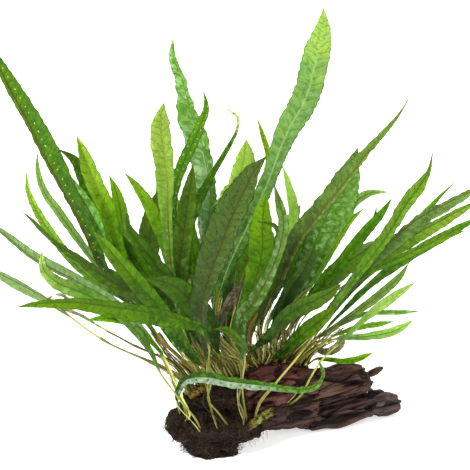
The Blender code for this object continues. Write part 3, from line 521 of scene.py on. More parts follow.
def wrapped_grid(name, places, marks):
    """A grid of places, rows by columns, as a tube: its first and last columns meet, and so do the
    places of its first row, and of its last. marks maps an attribute's name to a vector for each place."""
    rows, columns = places.shape[:2]
    bm = bmesh.new()
    bmesh.ops.create_grid(bm, x_segments=columns - 1, y_segments=rows - 1, size=1)
    mesh = bpy.data.meshes.new(name)
    bm.to_mesh(mesh)
    flat = np.empty(len(mesh.vertices) * 3, "f")
    mesh.vertices.foreach_get("co", flat)
    flat = flat.reshape(-1, 3)
    column = np.rint((flat[:, 0] + 1) / 2 * (columns - 1)).astype(int)
    row = np.rint((flat[:, 1] + 1) / 2 * (rows - 1)).astype(int)
    mesh.vertices.foreach_set("co", places[row, column].astype("f").ravel())
    for key, values in marks.items():
        marked(mesh, key, values[row, column])
    bm.clear()
    bm.from_mesh(mesh)
    bmesh.ops.remove_doubles(bm, verts=bm.verts, dist=SEAM_WELD)
    bmesh.ops.recalc_face_normals(bm, faces=bm.faces)
    bpy.data.meshes.remove(mesh)
    return new_mesh(name, bm)


def rhizome_finish():
    look = Finish("rhizome_skin")
    place = look.place()
    clouds = look.noise(place, 160.0)
    speckle = look.noise(place, 900.0, 3.0, 0.7)
    bare, crown, _ = look.marks("skin")
    look.colour = look.blend(look.band(clouds, 0.38, 0.62), "1A110B", "2E1E15")
    look.paint(crown, look.blend(look.band(clouds, 0.4, 0.6), "7A4A22", "8A7434"))
    look.paint(bare, look.blend(look.band(clouds, 0.42, 0.66), "8E9638", "6E5A2C"))
    look.paint(look.band(speckle, 0.45, 0.75, 0.0, 0.7), "3A2417")
    return look.wear(look.band(speckle, 0.3, 0.7, 0.4, 0.75), look.bump(speckle, 0.4))


def scale_finish():
    look = Finish("rhizome_scale")
    speckle = look.noise(look.place(), 800.0, 3.0, 0.7)
    look.colour = look.blend(look.attribute("shade", "Fac"), "1A110B", "483624")
    look.paint(look.band(speckle, 0.4, 0.7, 0.0, 0.5), "20130C")
    return look.wear(look.band(speckle, 0.3, 0.7, 0.55, 0.85), look.bump(speckle, 0.2))


rhizome_look, scale_look = rhizome_finish(), scale_finish()
rhizome_trees = {}
for route_name, route in RHIZOME_ROUTES_MM.items():
    route = np.array(route, float)
    params, lengths = even_track(route)
    total = lengths[-1]
    rows = int(total / RHIZOME_STEP_MM)
    s = np.linspace(0, total, rows)
    centre = along_track(route, np.interp(s, lengths, params))
    forward = unit(np.gradient(centre, axis=0))
    side = unit(np.cross(forward, [0, 0, 1]))
    up = np.cross(side, forward)
    angles = np.linspace(0, math.tau, RHIZOME_SIDES + 1)
    rounding = np.sqrt(np.clip(1 - (1 - np.minimum(s, total - s) / RHIZOME_RADIUS_MM).clip(0) ** 2, 0, 1))
    places = np.zeros((rows, RHIZOME_SIDES + 1, 3))
    for j in range(rows):
        for k, angle in enumerate(angles[:-1]):
            way = side[j] * math.cos(angle) + up[j] * math.sin(angle)
            at = Vector(centre[j] / 4 + way * 0.8)
            swell = 1 + 0.16 * noise.noise(at) + 0.07 * math.sin(s[j] * 1.1) + 0.1 * noise.noise(at * 3)
            places[j, k] = centre[j] + way * (RHIZOME_RADIUS_MM * 0.94 * swell * rounding[j])
    places[:, -1] = places[:, 0]
    skin = np.zeros_like(places)
    if route_name == "front":
        low, high = BARE_RHIZOME_MM
        x = places[..., 0]
        skin[..., 0] = np.clip((x - low) / 3, 0, 1) * np.clip((high - x) / 4, 0, 1)
    else:
        skin[..., 1] = np.clip((CROWN_TO_X_MM - places[..., 0]) / 4, 0, 1)
    stem_mesh = wrapped_grid("rhizome_" + route_name, places * MM, {"skin": skin})
    stem = new_piece("rhizome_" + route_name + "_stem", stem_mesh, rhizome_look)
    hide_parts("rhizome_" + route_name)
    tree = rhizome_trees[route_name] = BVHTree.FromObject(stem, bpy.context.evaluated_depsgraph_get())
    bm, shades = bmesh.new(), []
    for _ in range(int(total * SCALES_PER_MM)):
        at = rhizome_random.uniform(0.01, 0.99) * total
        j = int(at / total * (rows - 1))
        angle = rhizome_random.uniform(0, math.tau)
        way = Vector(side[j] * math.cos(angle) + up[j] * math.sin(angle))
        here, normal, _, _ = tree.find_nearest(Vector(centre[j]) * MM + way * (4.5 * MM))
        length, width = rhizome_random.uniform(1.4, 3.2), rhizome_random.uniform(0.5, 1.0)
        heading = laid_on(normal, Vector(forward[j]) + Vector(rhizome_random.normal(size=3)) * 0.5)
        cross = normal.cross(heading)
        lean = rhizome_random.uniform(0.1, 0.45)
        outline = [(0, 0, -0.1), (0.45, -0.5, 0.12), (1, 0, lean), (0.45, 0.5, 0.12), (0.5, 0, 0.3)]
        spots = (heading * (x * length) + cross * (y * width) + normal * (z * length) for x, y, z in outline)
        root, left, tip, right, crown = [bm.verts.new(here + spot * MM) for spot in spots]
        for face in ((root, right, crown), (right, tip, crown), (tip, left, crown), (left, root, crown),
                     (root, left, right), (left, tip, right)):
            bm.faces.new(face)
        shades += [rhizome_random.random()] * 5
    bmesh.ops.recalc_face_normals(bm, faces=bm.faces)
    scales_mesh = shaded(new_mesh("scales", bm), shades)
    scales = new_piece("rhizome_" + route_name + "_scales", scales_mesh, scale_look)


# ---- Fronds ----
# Each frond is one thin leathery blade on a wiry stipe. Its midrib stands out below, and side veins
# leave it every few millimetres, with the skin quilted between them and ruffled at the margins.

BLADE_HALF_MM = 0.22
STIPE_RADIUS_MM = 0.6
STIPE_CAD_HALF_MM = 0.85
VEIN_SPACING_MM = 5.2
VEIN_SLOPE = 0.75
FOOT_SINK_MM = 1.2
BLADE_GROWTH = 0.07
SORI_SPACING_MM = 5.6
YOUNG_STIPE_FOOT_MM = 24
STIPE_RUN_MM = 85
FROND_SEED = 100
YOUNG_SEED = 200

# How each frond looks: how ripe its tip is, its shade (lighter or darker overall, partly painted light
# and shade of where it stands in the bush), how spotted, quilted and ruffled it is, how brown its midrib
# is and how far off the middle. Then the painted shade of the dark dashes in the vein grooves beside the
# midrib, the rows of spore dots (below 0, pale dots), the silvery half (below 0 the left), which on
# centre_tall is a painted sheen, how much slimmer and paler it is than its kind, and how far its veins
# are drawn.
PLAIN = dict(ripe=0.3, shade=0.0, spots=0.0, quilt=0.45, ruffle=0.6, rib=0.3, skew=0.0, groove_shade=0.25, sori=0.0,
             silver=0.0, slim=0.0, pale=0.0, veins=0.55)
LOOKS = {
    "left_tall": dict(ripe=0.2, quilt=0.3, ruffle=0.5, rib=0.95, shade=-0.12, skew=0.75, groove_shade=0.0,
                      sori=-0.8, veins=0.45),
    "left_pale": dict(quilt=0.7, shade=1.3),
    "left_drooping": dict(ripe=0.0, shade=0.3, ruffle=0.8),
    "left_lime": dict(ripe=0.8, rib=0.9, shade=-0.3, skew=0.25, groove_shade=0.1, veins=0.4),
    "left_upright": dict(ripe=0.5, shade=0.42),
    "left_olive": dict(ripe=0.6, rib=0.5, shade=-0.3, skew=0.3),
    "left_arching": dict(ripe=0.5, ruffle=1.0, shade=0.05, pale=0.12),
    "left_arching_back": dict(ripe=0.4, ruffle=0.7, pale=0.35),
    "left_sweeping": dict(ripe=0.2, shade=0.1, ruffle=0.8),
    "left_low_pale": dict(ripe=0.2, shade=-0.24, spots=0.5, rib=0.8, skew=-0.5, pale=0.35),
    "left_low_lime": dict(ripe=1.0, shade=-0.2, veins=0.25, pale=0.15, groove_shade=0.0),
    "left_lowest": dict(shade=-0.1, ruffle=0.5, rib=0.8, skew=-0.6, pale=0.38),
    "left_curled": dict(shade=0.3, slim=0.3),
    "left_front": dict(ripe=0.4, quilt=0.35, shade=-0.43, ruffle=0.7, skew=0.3, veins=0.35, groove_shade=0.1),
    "centre_lime": dict(ripe=0.85, rib=0.9, quilt=0.9, ruffle=0.4, shade=-0.24, skew=-0.3, groove_shade=0.0,
                        pale=0.16, veins=0.3),
    "centre_dark_tip": dict(sori=-0.55, ripe=0.6, rib=0.5, ruffle=0.9, shade=-0.05),
    "centre_tall": dict(quilt=0.9, ruffle=0.7, shade=0.14, skew=-0.35, groove_shade=0.6, silver=-0.25),
    "centre_curled": dict(ripe=1.0, ruffle=0.7, rib=0.4, shade=0.45),
    "centre_broad": dict(shade=0.05, veins=0.5),
    "centre_lime_back": dict(ripe=1.0, quilt=0.5, groove_shade=0.0, pale=0.16),
    "centre_dark": dict(ripe=0.4, spots=1.0, rib=1.0, quilt=0.6, ruffle=0.9, shade=-0.33, skew=0.25,
                        groove_shade=0.0, sori=1.0, pale=0.08, veins=0.3),
    "tallest": dict(ripe=0.7, quilt=1.1, ruffle=0.8, rib=0.0, shade=-0.14, skew=0.08, groove_shade=0.5, veins=1.0),
    "centre_yellow": dict(ripe=0.8, quilt=0.6, shade=0.25, pale=0.25),
    "centre_arching": dict(rib=0.9, quilt=0.5, shade=-0.33, ripe=0.8, spots=0.4, veins=0.4),
    "centre_bright": dict(ripe=0.45, quilt=0.6, shade=-0.14, rib=0.6, veins=0.35),
    "centre_short": dict(rib=0.8, spots=0.6, shade=-0.55),
    "centre_shaded": dict(shade=-0.16),
    "centre_folded": dict(shade=-0.35, rib=0.7),
    "centre_leaning": dict(shade=-0.35),
    "front_short": dict(ripe=0.5, spots=0.5, shade=-0.66),
    "front_crossing": dict(quilt=0.3, shade=-0.3, ruffle=1.0, skew=0.05, sori=0.7, silver=1.0, slim=0.3),
    "right_tall": dict(rib=1.0, quilt=0.5, ruffle=1.3, shade=0.5, ripe=0.4, skew=0.5, pale=0.08),
    "right_pale": dict(quilt=1.3, rib=0.5, skew=-0.4, groove_shade=0.5),
    "right_hooked": dict(ripe=0.5, shade=0.6, pale=0.4),
    "right_dark_tip": dict(ripe=0.0, rib=0.5, quilt=0.7, shade=0.42),
    "right_fresh": dict(quilt=0.6, shade=-0.12, skew=0.3, spots=0.3, pale=0.08),
    "right_sweeping": dict(rib=1.0, spots=0.4, shade=0.6, quilt=0.5, skew=0.6, ruffle=1.3, pale=0.12),
    "right_sweeping_pale": dict(ripe=0.8, skew=0.5, shade=-0.26, pale=0.12),
    "right_sweeping_low": dict(shade=0.1),
    "right_lime": dict(ripe=1.0, shade=-0.24, pale=0.35),
    "right_narrow": dict(rib=0.8, shade=0.45, pale=0.1),
    "right_low": dict(ripe=0.6, ruffle=0.9, shade=0.3, pale=0.28),
    "right_withered": dict(shade=0.4),
    "right_front_bright": dict(shade=-0.56, veins=0.45),
    "right_front_low": dict(shade=-0.32, veins=0.45),
    "back_centre": dict(shade=0.3),
    "back_left": dict(shade=-0.15),
    "back_right": dict(shade=-0.35),
}


def neighbours(vert):
    return [edge.other_vert(vert) for edge in vert.link_edges]


def sections_from(tip):
    """The four-point sections of a frond's solid, from its foot to its tip, as rings of vertices."""
    seen, level, sections = {tip}, [tip], []
    while True:
        level = list(dict.fromkeys(n for v in level for n in neighbours(v) if n not in seen))
        if len(level) != 4:
            return sections[::-1]
        ring = [level[0]]
        for _ in range(3):
            ring.append(next((n for n in neighbours(ring[-1]) if n in level and n not in ring), None))
            if ring[-1] is None:
                return sections[::-1]
        seen.update(level)
        sections.append([np.array(v.co) for v in ring])


def frond_tracks(node, least):
    """For each frond in a node: its left margin, upper rib, right margin and lower rib, foot to tip."""
    bm, found = merged_solids(node), []
    for tip in bm.verts:
        spokes = [edge.calc_length() for edge in tip.link_edges]
        if len(spokes) != 4 or min(spokes) < 0.5 * max(spokes):
            continue
        sections = sections_from(tip)
        if len(sections) < least:
            continue
        sections = np.array(sections)
        widths = np.linalg.norm(sections[:, 0] - sections[:, 2], axis=1)
        others = np.linalg.norm(sections[:, 1] - sections[:, 3], axis=1)
        start = int(np.argmax(np.maximum(widths, others)))
        if others[start] > widths[start]:
            sections[start] = np.roll(sections[start], -1, axis=0)
        to_foot = [(n, n + 1) for n in range(start - 1, -1, -1)]
        to_tip = [(n, n - 1) for n in range(start + 1, len(sections))]
        for n, last in to_foot + to_tip:
            turns = [np.roll(s, k, axis=0) for s in (sections[n], sections[n][::-1]) for k in range(4)]
            middles = [turn - turn.mean(0) for turn in turns]
            like = sections[last] - sections[last].mean(0)
            sections[n] = turns[int(np.argmax([(m * like).sum() for m in middles]))]
        margins = (sections[start, 0] + sections[start, 2]) / 2
        ribs = (sections[start, 1] + sections[start, 3]) / 2
        upper = sections[start, 1] - sections[start, 3]
        if np.dot(margins - ribs, upper) < 0:
            sections = sections[:, [0, 3, 2, 1]]
        tips = np.repeat(np.array(tip.co)[None, None], 4, axis=1)
        found.append(np.concatenate([sections, tips]) / MM)
    bm.free()
    return sorted(found, key=lambda track: track[-1, 0, 0])


def waves(s, spacing, rng):
    """A wandering wave along the frond, of about the given spacing."""
    phase = rng.uniform(0, math.tau, 3)
    drift = 0.9 * np.sin(s / (spacing * 2.3) + phase[0])
    fine = np.sin(math.tau * s / (spacing * 0.53) + phase[2])
    return 0.7 * np.sin(math.tau * s / spacing + phase[1] + drift) + 0.3 * fine


def margin_waves(t, s, right_mm, left_mm, rng):
    """Waves of one spacing on a blade's right half, and of another on its left."""
    return np.where(t > 0, waves(s, right_mm, rng), waves(s, left_mm, rng))


# The middle line of each bare stipe, for the dead stipes that stand beside it.
stipe_runs = []


def frond_mesh(name, track, seed, look):
    """The frond as one closed skin round its stipe and blade, with its pattern's marks."""
    rng = np.random.default_rng(seed)
    params, lengths = even_track((track[:, 1] + track[:, 3]) / 2)
    total = lengths[-1]
    cad_half = np.linalg.norm(track[:, 0] - track[:, 2], axis=1) / 2
    widest = cad_half.max()
    half_at = np.interp(params, np.arange(len(cad_half)), cad_half)
    row_step = np.where(half_at > STIPE_CAD_HALF_MM * 1.3, 1.15 if widest > 3 else 1.5, 3.2)
    row_count = np.concatenate([[0], np.cumsum(np.diff(lengths) / row_step[1:])])
    rows = max(24, int(row_count[-1]))
    at = np.interp(np.linspace(0, row_count[-1], rows), row_count, params)
    s = np.interp(at, params, lengths)[:, None]
    left, upper, right, lower = (along_track(track[:, k], at) for k in range(4))
    centre = (upper + lower) / 2
    forward = unit(np.gradient(centre, axis=0))
    across = right - left
    across -= forward * (across * forward).sum(1, keepdims=True)
    half = np.linalg.norm(across, axis=1, keepdims=True) / 2
    normal = unit(np.cross(unit(across), forward))
    normal *= np.sign(((upper - lower) * normal).sum())

    end = np.clip((total - s) / 2.5, 0, 1)
    blade = np.clip((half - STIPE_CAD_HALF_MM) / 1.4, 0, 1)
    last_bare = np.max(np.where((blade[:, 0] < 0.02) & (s[:, 0] < total * 0.7))[0], initial=0)
    leafy = slice(last_bare + 1, None)
    blade[leafy] = np.maximum(blade[leafy], np.clip((s[leafy] - s[last_bare]) / 6, 0, 1))
    blade = blade * blade * (3 - 2 * blade)
    rib = (STIPE_RADIUS_MM * (1 + 0.25 * np.exp(-s / 2.5))) * (1 - 0.62 * np.clip(s / total, 0, 1) * blade)
    rib = np.minimum(rib, np.maximum(half, 0.02))
    width = blade * half + (1 - blade) * rib

    each_side = 12 if widest > 3.2 else 8
    ease = np.linspace(-1, 1, each_side + 1)
    ease = 0.6 * ease + 0.4 * np.sin(ease * math.pi / 2)
    t = np.concatenate([ease, ease[-2::-1]])[None, :]
    one_face = np.ones(each_side - 1)
    face = np.concatenate([[0], one_face, [0], -one_face, [0]])[None, :]
    reach = np.abs(t)

    growth = (BLADE_GROWTH * half + 0.1) * np.clip((total - s) / 8, 0, 1)
    width = (width + blade * growth) * (1 - look["slim"] * blade)
    turned = look["skew"] * blade * np.sin(math.pi * np.clip(s / total, 0, 1)) ** 0.5
    from_rib = t - turned
    share_out = np.where(from_rib > 0, from_rib / (1 - turned), -from_rib / (1 + turned)).clip(0, 1)
    notches = 0.06 * margin_waves(t, s, 4.3, 4.9, rng)
    scallops = 0.05 * margin_waves(t, s, 8.6, 9.7, rng)
    crenate = 1 + blade * (notches + scallops) * look["ruffle"]
    x = t * width * (1 + (crenate - 1) * reach ** 2)
    fold = (((left + right) / 2 - centre) * normal).sum(1, keepdims=True) * reach ** 1.3 * blade

    size = np.clip(half / 6, 0.15, 1.25)
    from_rib_mm = from_rib * width
    along = s + 1.3 * waves(s, 19, rng)
    phase = (along - VEIN_SLOPE * np.abs(from_rib_mm)) / VEIN_SPACING_MM + np.where(from_rib > 0, 0.25, -0.25)
    quilts = np.abs(np.sin(math.pi * phase)) ** 0.7 - 0.6
    pillow = np.clip(share_out / 0.22, 0, 1) * np.clip((1 - share_out) / 0.45, 0, 1) ** 0.8
    lift = 0.95 * look["quilt"] * size * quilts * pillow
    ruffles = margin_waves(t, s, 11, 12.5, rng)
    lift = lift + 1.15 * look["ruffle"] * size * ruffles * reach ** 2.6
    lift = lift + 0.10 * half * np.sin(math.pi * reach) * 0.6 + 0.35 * waves(s, 38, rng)
    lift = lift * blade * end + fold

    rib_x = np.where(blade > 0.5, from_rib_mm, x)
    round_part = np.sqrt(np.clip(rib ** 2 - rib_x ** 2, 0, None))
    thin = BLADE_HALF_MM * np.clip(half / 1.2, 0.15, 1) * np.sqrt(np.clip(1 - reach ** 5, 0, 1))
    groove = 0.16 * blade * end * np.exp(-(rib_x / 0.7) ** 2)
    over = np.maximum(thin, round_part * (1 - 0.75 * blade)) - groove
    under = np.maximum(thin, round_part * (1 - 0.15 * blade))
    thick = np.where(face > 0, over, np.where(face < 0, -under, 0))
    places = centre[:, None] + unit(across)[:, None] * x[..., None]
    places += normal[:, None] * (lift + thick)[..., None]
    places[0] = centre[0] - forward[0] * FOOT_SINK_MM
    places[-1] = track[-1, 0]
    chance = rng.random()
    old_stipe = np.clip((centre[0, 2] - YOUNG_STIPE_FOOT_MM) / 8, 0, 1) * rng.uniform(0.15, 1.0)
    marks = {"pattern": (from_rib_mm, along, face), "share": (s / total, reach, blade),
             "own": (look["shade"], look["ripe"], look["spots"]), "more": (look["rib"], chance, width),
             "extra": (look["groove_shade"], look["sori"], look["silver"]),
             "stalk": (old_stipe, look["pale"], look["veins"])}
    ones = np.ones(places.shape[:2])
    marks = {key: np.stack([value * ones for value in values], axis=-1) for key, values in marks.items()}
    bare_rows = blade[:, 0] < 0.3
    stipe_runs.append(places[bare_rows][:, :-1].mean(1)[s[bare_rows, 0] < STIPE_RUN_MM])
    places[..., 2] = np.maximum(places[..., 2], 0.3)
    return wrapped_grid(name, places * MM, marks)


def frond_finish(name, foot, body, tip, rib, vein, under, dull, quilt_light_and_shade=0.62, ripen=(0.5, 0.95)):
    """A leaf's skin: body colour from foot (darkened by painted shade) to tip, veins, netted cells, spots or
    dots, painted light and shade, and gloss.
    """
    look = Finish(name)
    across, along, face = look.marks("pattern")
    share, reach, blade = look.marks("share")
    shade, ripe, spots = look.marks("own")
    brown, chance, half = look.marks("more")
    groove_shade, sori, silver = look.marks("extra")
    old_stipe, pale, veined = look.marks("stalk")
    shifted = look.add("CombineXYZ", {0: across, 1: along, 2: look.times(chance, 57.0)})
    clouds = look.noise(shifted, 0.07, 2.0)
    blotches = look.noise(shifted, 0.3)
    cells = look.add("TexVoronoi", {"Vector": shifted, "Scale": 0.75}, feature="DISTANCE_TO_EDGE")
    side, away = look.math("SIGN", across), look.size(across)
    turn = look.math("DIVIDE", look.minus(along, look.times(away, VEIN_SLOPE)), VEIN_SPACING_MM)
    saw = look.size(look.minus(look.math("FRACT", look.plus(look.times(side, 0.25), turn)), 0.5))
    wander = look.times(look.minus(blotches, 0.5), 0.10)
    veins = look.times(look.band(look.plus(saw, wander), 0.43, 0.5), blade)
    net = look.times(look.band(cells, 0.10, 0.0), blade)
    narrow = look.math("MINIMUM", look.times(half, 0.22), 1.0)
    rib_off = look.math("DIVIDE", away, narrow)
    ribbing = look.band(rib_off, 0.7, 0.25)

    ripeness = look.plus(share, look.times(look.minus(clouds, 0.5), 0.5))
    # Painted shade: the body colour darkens towards each frond's foot, inside the bush.
    look.colour = look.blend(look.band(ripeness, 0.2, 0.7), foot, body)
    look.paint(look.times(look.band(ripeness, *ripen), ripe), tip)
    # Painted light and shade of the quilting: lighter and darker blotches over the blade.
    look.paint(look.band(blotches, 0.46, 0.68, 0.0, 1.3 * quilt_light_and_shade), under)
    look.paint(look.band(blotches, 0.48, 0.30, 0.0, 0.8 * quilt_light_and_shade), foot)
    look.paint(look.times(look.band(face, 0.3, -0.3), 0.55), under)
    look.paint(look.times(net, 0.22), foot)
    look.paint(look.times(veins, veined, 0.45), vein)
    # Painted shade in the vein grooves beside the midrib: short dark dashes.
    beside = look.times(look.band(away, 0.5, 0.9), look.band(away, 3.6, 2.0))
    look.paint(look.times(look.band(saw, 0.36, 0.46), beside, groove_shade, blade, 0.6), foot)
    # The silvery half of a blade: its own colour on front_crossing, a painted sheen on centre_tall.
    lower_half = look.band(look.times(across, look.math("SIGN", silver)), -0.1, -0.5)
    silver_and_sheen = look.blend(look.band(blotches, 0.35, 0.65), "7E9A78", "B4C6AC")
    silvered = look.times(lower_half, blade, look.size(silver), look.band(share, 0.74, 0.56, 0.15, 1.0), 0.9)
    look.paint(silvered, silver_and_sheen)
    stagger = look.plus(look.times(side, 1.3), look.times(clouds, 9.0))
    ring = look.math("DIVIDE", look.plus(along, stagger), SORI_SPACING_MM)
    ring = look.times(look.minus(look.math("FRACT", ring), 0.5), SORI_SPACING_MM)
    off = look.minus(away, look.times(half, 0.5))
    ring = look.plus(look.times(ring, ring), look.times(off, off))
    look.paint(look.times(look.band(ring, 0.8, 0.3), blade, look.math("MAXIMUM", sori, 0.0), 0.85), "262C12")
    pale_dots = look.times(look.band(ring, 0.24, 0.05), look.times(sori, -1.0))
    pale_dots = look.times(look.math("MAXIMUM", pale_dots, 0.0), blade)
    look.paint(look.times(pale, blade), "9CB484")
    look.paint(look.times(look.band(reach, 0.9, 1.0), blade, 0.4), foot)
    soft_brown = look.times(look.band(rib_off, 2.4, 0.4), look.band(brown, 0.8, 1.0, 0.0, 0.3))
    look.paint(look.times(soft_brown, look.band(clouds, 0.35, 0.6), blade), rib)
    greener = look.times(ripe, look.band(share, 0.55, 0.8), 0.8)
    rib_colour = look.blend(look.times(brown, look.minus(1.0, greener)), vein, rib)
    ribbing = look.times(ribbing, look.band(blotches, 0.25, 0.6, 0.35, 0.85))
    look.paint(ribbing, rib_colour)
    look.paint(pale_dots, "C4D690")

    scattered = {"Vector": shifted, "Scale": 0.42, "Randomness": 0.8}
    specks, chances = (look.add("TexVoronoi", scattered, output, feature="F1") for output in (0, 1))
    dark = look.times(look.band(specks, 0.24, 0.14), look.band(look.parts(chances)[0], 0.42, 0.5), blade,
                      look.math("MAXIMUM", spots, 0.0))
    look.paint(look.times(dark, 0.85), "2A1D10")
    stem = look.blend(look.band(clouds, 0.4, 0.6), "B4B468", "84924A")
    stem = look.blend(look.band(old_stipe, 0.25, 0.8, 0.0, 0.8), stem, "6E5A2A")
    stem = look.blend(look.band(share, 0.12, 0.0, 0.0, 0.65), stem, "5A3C1E")
    look.paint(look.band(blade, 0.75, 0.05), stem)
    hue = look.plus(look.times(chance, 0.012), 0.483)
    # Painted light and shade of the blade's fold: one half of the blade lighter, the other darker.
    lean = look.math("FRACT", look.times(chance, 7.3))
    lean = look.times(look.minus(lean, 0.5), 0.3, look.band(across, -0.4, 0.4, -1.0, 1.0))
    # The frond's shade, partly painted light and shade of where it stands in the bush, times the fold's.
    value = look.times(look.plus(shade, 1.0), look.plus(lean, 1.0))
    changes = {"Color": look.colour, "Value": value, "Hue": hue, "Saturation": 1.12}
    look.colour = look.add("HueSaturation", changes)

    gloss = look.band(blotches, 0.3, 0.7, dull - 0.06, dull + 0.08)
    relief = [look.times(*part) for part in ((net, -0.5), (blotches, 1.6), (veins, -0.9), (dark, 0.6))]
    return look.wear(gloss, look.bump(look.plus(*relief), 0.35))


# Each skin: its colours at the foot (darkened as painted shade of the bush's inside), body and tip, a
# brown midrib, the veins and the lower face, how dull it is, how strong the painted light and shade of
# its quilting is, and where along the blade its tip ripens, where those two differ.
SKINS = {
    "frond_lime": ("1E5A0A", "509614", "AAD45C", "553218", "8AB040", "84AC44", 0.36),
    "frond_fresh": ("1A4404", "48800E", "8CB43C", "5A4A22", "306410", "66983A", 0.36),
    "frond_mid": ("163A04", "34680C", "588C20", "4A3014", "28540A", "4E7E20", 0.36),
    "frond_dark": ("142E04", "345414", "4E7226", "4C3A1A", "22400A", "4C6C2C", 0.42),
    "frond_glaucous": ("22500C", "568238", "7AA454", "584420", "3A6E24", "8AAE78", 0.44),
    "frond_dry": ("44401E", "74784E", "A4A88E", "6A4424", "6E7048", "A0A48C", 0.72, 0.9),
    "frond_tallest": ("2E5E1E", "64904E", "A6CE62", "8CB070", "8CB070", "80A86C", 0.38, 0.5, (0.7, 0.98)),
    "frond_curled": ("16340A", "2C5210", "B0BA7C", "3E3414", "2A4812", "4C7428", 0.40, 0.62, (0.80, 0.92)),
    "frond_lime_tip": ("1E500C", "447A1A", "C2DC78", "5A3A1E", "34701A", "6CA444", 0.36, 0.62, (0.76, 0.97)),
    "frond_dead": ("482C18", "6E7454", "84502E", "5E3A20", "5C6444", "98A084", 0.68, 0.9),
}
# Fronds with a skin of their own: the tallest with its pale midrib, two that are lime only at their
# tips, and the dead grey one.
OWN_SKINS = {"frond_tallest": "frond_tallest", "frond_centre_curled": "frond_curled",
             "frond_left_low_lime": "frond_lime_tip", "frond_centre_short": "frond_dead"}
frond_skins = {name: frond_finish(name + "_skin", *skin) for name, skin in SKINS.items()}

slot_of = {part["node"]: part["material_slot"] for part in frame["record"]["subparts"]}
frond_nodes = sorted(node for node in frame["nodes"] if node.startswith("frond_"))
for number, node in enumerate(frond_nodes):
    track = max(frond_tracks(node, 3), key=len)
    look = {**PLAIN, **LOOKS.get(node.removeprefix("frond_"), {})}
    mesh = frond_mesh(node, track, FROND_SEED + number, look)
    skin = frond_skins[OWN_SKINS.get(node, slot_of[node])]
    frond = new_piece(node + "_leaf", mesh, skin)
    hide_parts(node)

# The youngest fronds, which are one with their rhizome in the solids, from left to right: each one's
# kind, its shade (lighter or darker overall, partly painted light and shade of where it grows in the
# bush) and how ripe its tip is.
YOUNG_LOOKS = {
    "front": [("mid", 0.6, 0.7)],
    "middle": [("fresh", -0.3, 0.3), ("mid", 0.1, 0.2), ("mid", 0.1, 0.2), ("fresh", -0.58, 0.5),
               ("fresh", -0.2, 1.0), ("fresh", -0.3, 0.4), ("mid", -0.62, 0.3), ("dark", 0.4, 0.1),
               ("fresh", -0.15, 0.6), ("fresh", 0.4, 0.5), ("mid", 0.5, 0.5), ("fresh", -0.4, 0.5)],
    "back": [("mid", 0.1, 0.2), ("dark", -0.1, 0.0), ("mid", 0.2, 0.4), ("glaucous", 0.25, 0.3),
             ("mid", 0.6, 0.5)],
}
for route_name, young_looks in YOUNG_LOOKS.items():
    tracks = frond_tracks("rhizome_" + route_name, 4)
    for number, (track, (kind, shade, ripe)) in enumerate(zip(tracks, young_looks)):
        finish = "frond_" + kind
        foot, _, _, _ = rhizome_trees[route_name].find_nearest(Vector(track[0].mean(0)) * MM)
        shift = np.array(foot) / MM - track[0].mean(0)
        if np.linalg.norm(shift) > 0.5:
            track = np.concatenate([(track[0] + shift)[None], track])
        look = {**PLAIN, "shade": shade, "ripe": ripe}
        mesh = frond_mesh("young", track, YOUNG_SEED + number, look)
        young = new_piece(f"young_frond_{route_name}_{number + 1}", mesh, frond_skins[finish])


# ---- Dead stipes ----
# The bare stipes of fronds that have died back: olive and straw brown, wiry and a little bent. They
# stand close beside the living stipes and fill the bush's foot.

STUBS_EACH = 8
STUB_LENGTHS_MM = (12, 78)
STUB_RADII_MM = (0.26, 0.56)
FRONT_STUB_RADIUS_MM = 0.35
FRONT_CROWN_MM = 27
stub_random = np.random.default_rng(19)


def stub_finish():
    look = Finish("dead_stipe")
    speckle = look.noise(look.place(), 420.0, 3.0, 0.7)
    own = look.attribute("shade", "Fac")
    look.colour = look.blend(look.band(own, 0.0, 0.5), "302C12", "908C40")
    look.paint(look.band(own, 0.6, 1.0), "BEC670")
    look.paint(look.band(speckle, 0.42, 0.7, 0.0, 0.6), "2A170E")
    return look.wear(look.band(speckle, 0.3, 0.7, 0.5, 0.8), look.bump(speckle, 0.2))


runs, shades = [], []
for spine in stipe_runs:
    if len(spine) < 4:
        continue
    reach, high = run_lengths(spine), spine[0, 2] > FRONT_CROWN_MM
    for _ in range(STUBS_EACH if high else 1):
        length = min(reach[-1], stub_random.uniform(*STUB_LENGTHS_MM))
        s = np.arange(0, length, 2.2)
        line = np.stack([np.interp(s, reach, spine[:, k]) for k in range(3)], axis=1)
        angle, spread = stub_random.uniform(0, math.tau), stub_random.uniform(1.2, 2.8)
        offset = np.array([math.cos(angle) * 1.3, math.sin(angle), 0.0]) * spread
        bend = stub_random.normal(size=3) * 1.1
        share = (s / max(length, 1))[:, None]
        line = line + offset * (0.5 + 0.5 * share) + bend * np.sin(share * math.pi) + [0, 0, -0.6]
        radius = stub_random.uniform(*STUB_RADII_MM) if high else FRONT_STUB_RADIUS_MM
        runs.append([(Vector(p) * MM, radius * (1 - 0.3 * (i / len(s))) * MM) for i, p in enumerate(line)])
        shades.append(float(stub_random.random()))
dead_stipes = new_piece("dead_stipes", fibre_mesh("dead_stipes", runs, shades, sides=5), stub_finish())


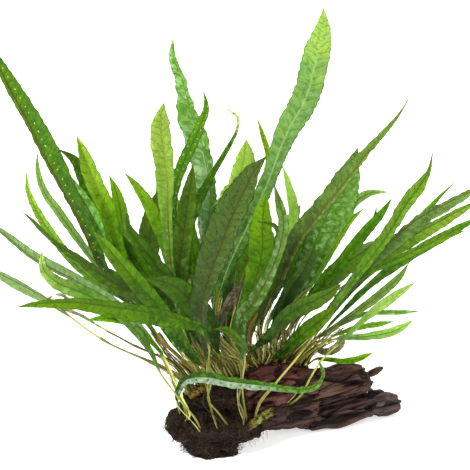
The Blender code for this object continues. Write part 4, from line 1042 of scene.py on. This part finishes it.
# ---- Studio ----
# A white stand in a white studio. The long lens keeps the plant's proportions as flat as they are
# in a product shot.

PICTURE_CENTRE_MM = (12, 135)
PICTURE_WIDTH_MM = 282
CAMERA_DISTANCE_MM = 6000
SENSOR_MM = 36

bm = bmesh.new()
bmesh.ops.create_grid(bm, x_segments=1, y_segments=1, size=15)
floor = new_object("stand", new_mesh("stand", bm))
white = Finish("stand_white")
for socket, value in {"Base Color": (0.93, 0.93, 0.93, 1), "Roughness": 0.9, "Specular IOR Level": 0.1,
                      "Emission Color": (1, 1, 1, 1), "Emission Strength": 0.6}.items():
    white.shader.inputs[socket].default_value = value
floor.data.materials.append(white.material)

world = bpy.data.worlds.new("studio")
scene.world = world
world.use_nodes = True
backdrop = world.node_tree.nodes["Background"].inputs
backdrop["Color"].default_value = (1, 1, 1, 1)
backdrop["Strength"].default_value = 0.38


def soft_light(name, place_m, aim_m, size_m, watts):
    lamp = bpy.data.lights.new(name, "AREA")
    lamp.shape = "SQUARE"
    lamp.size = size_m
    lamp.energy = watts
    light = new_object(name, lamp)
    light.location = place_m
    light.rotation_euler = (Vector(aim_m) - Vector(place_m)).to_track_quat("-Z", "Y").to_euler()


soft_light("key", (-0.7, -0.9, 1.3), (0, 0, 0.1), 0.6, 36)
soft_light("fill", (1.1, -0.8, 0.8), (0, 0, 0.1), 0.9, 9)
soft_light("rear", (0.2, 1.2, 1.0), (0, 0, 0.15), 1.0, 17)

lens = bpy.data.cameras.new("camera")
lens.sensor_width = SENSOR_MM
lens.lens = SENSOR_MM * CAMERA_DISTANCE_MM / PICTURE_WIDTH_MM
lens.clip_end = 100
camera = new_object("camera", lens)
across_mm, up_mm = PICTURE_CENTRE_MM
centre_up = (up_mm + BASE_FRONT_MM * math.sin(SIGHT_TILT)) / math.cos(SIGHT_TILT)
camera.location = Vector((across_mm, 0, centre_up)) * MM - SIGHT * (CAMERA_DISTANCE_MM * MM)
camera.rotation_euler = (math.pi / 2 - SIGHT_TILT, 0, 0)
scene.camera = camera
scene.view_settings.view_transform = "Standard"
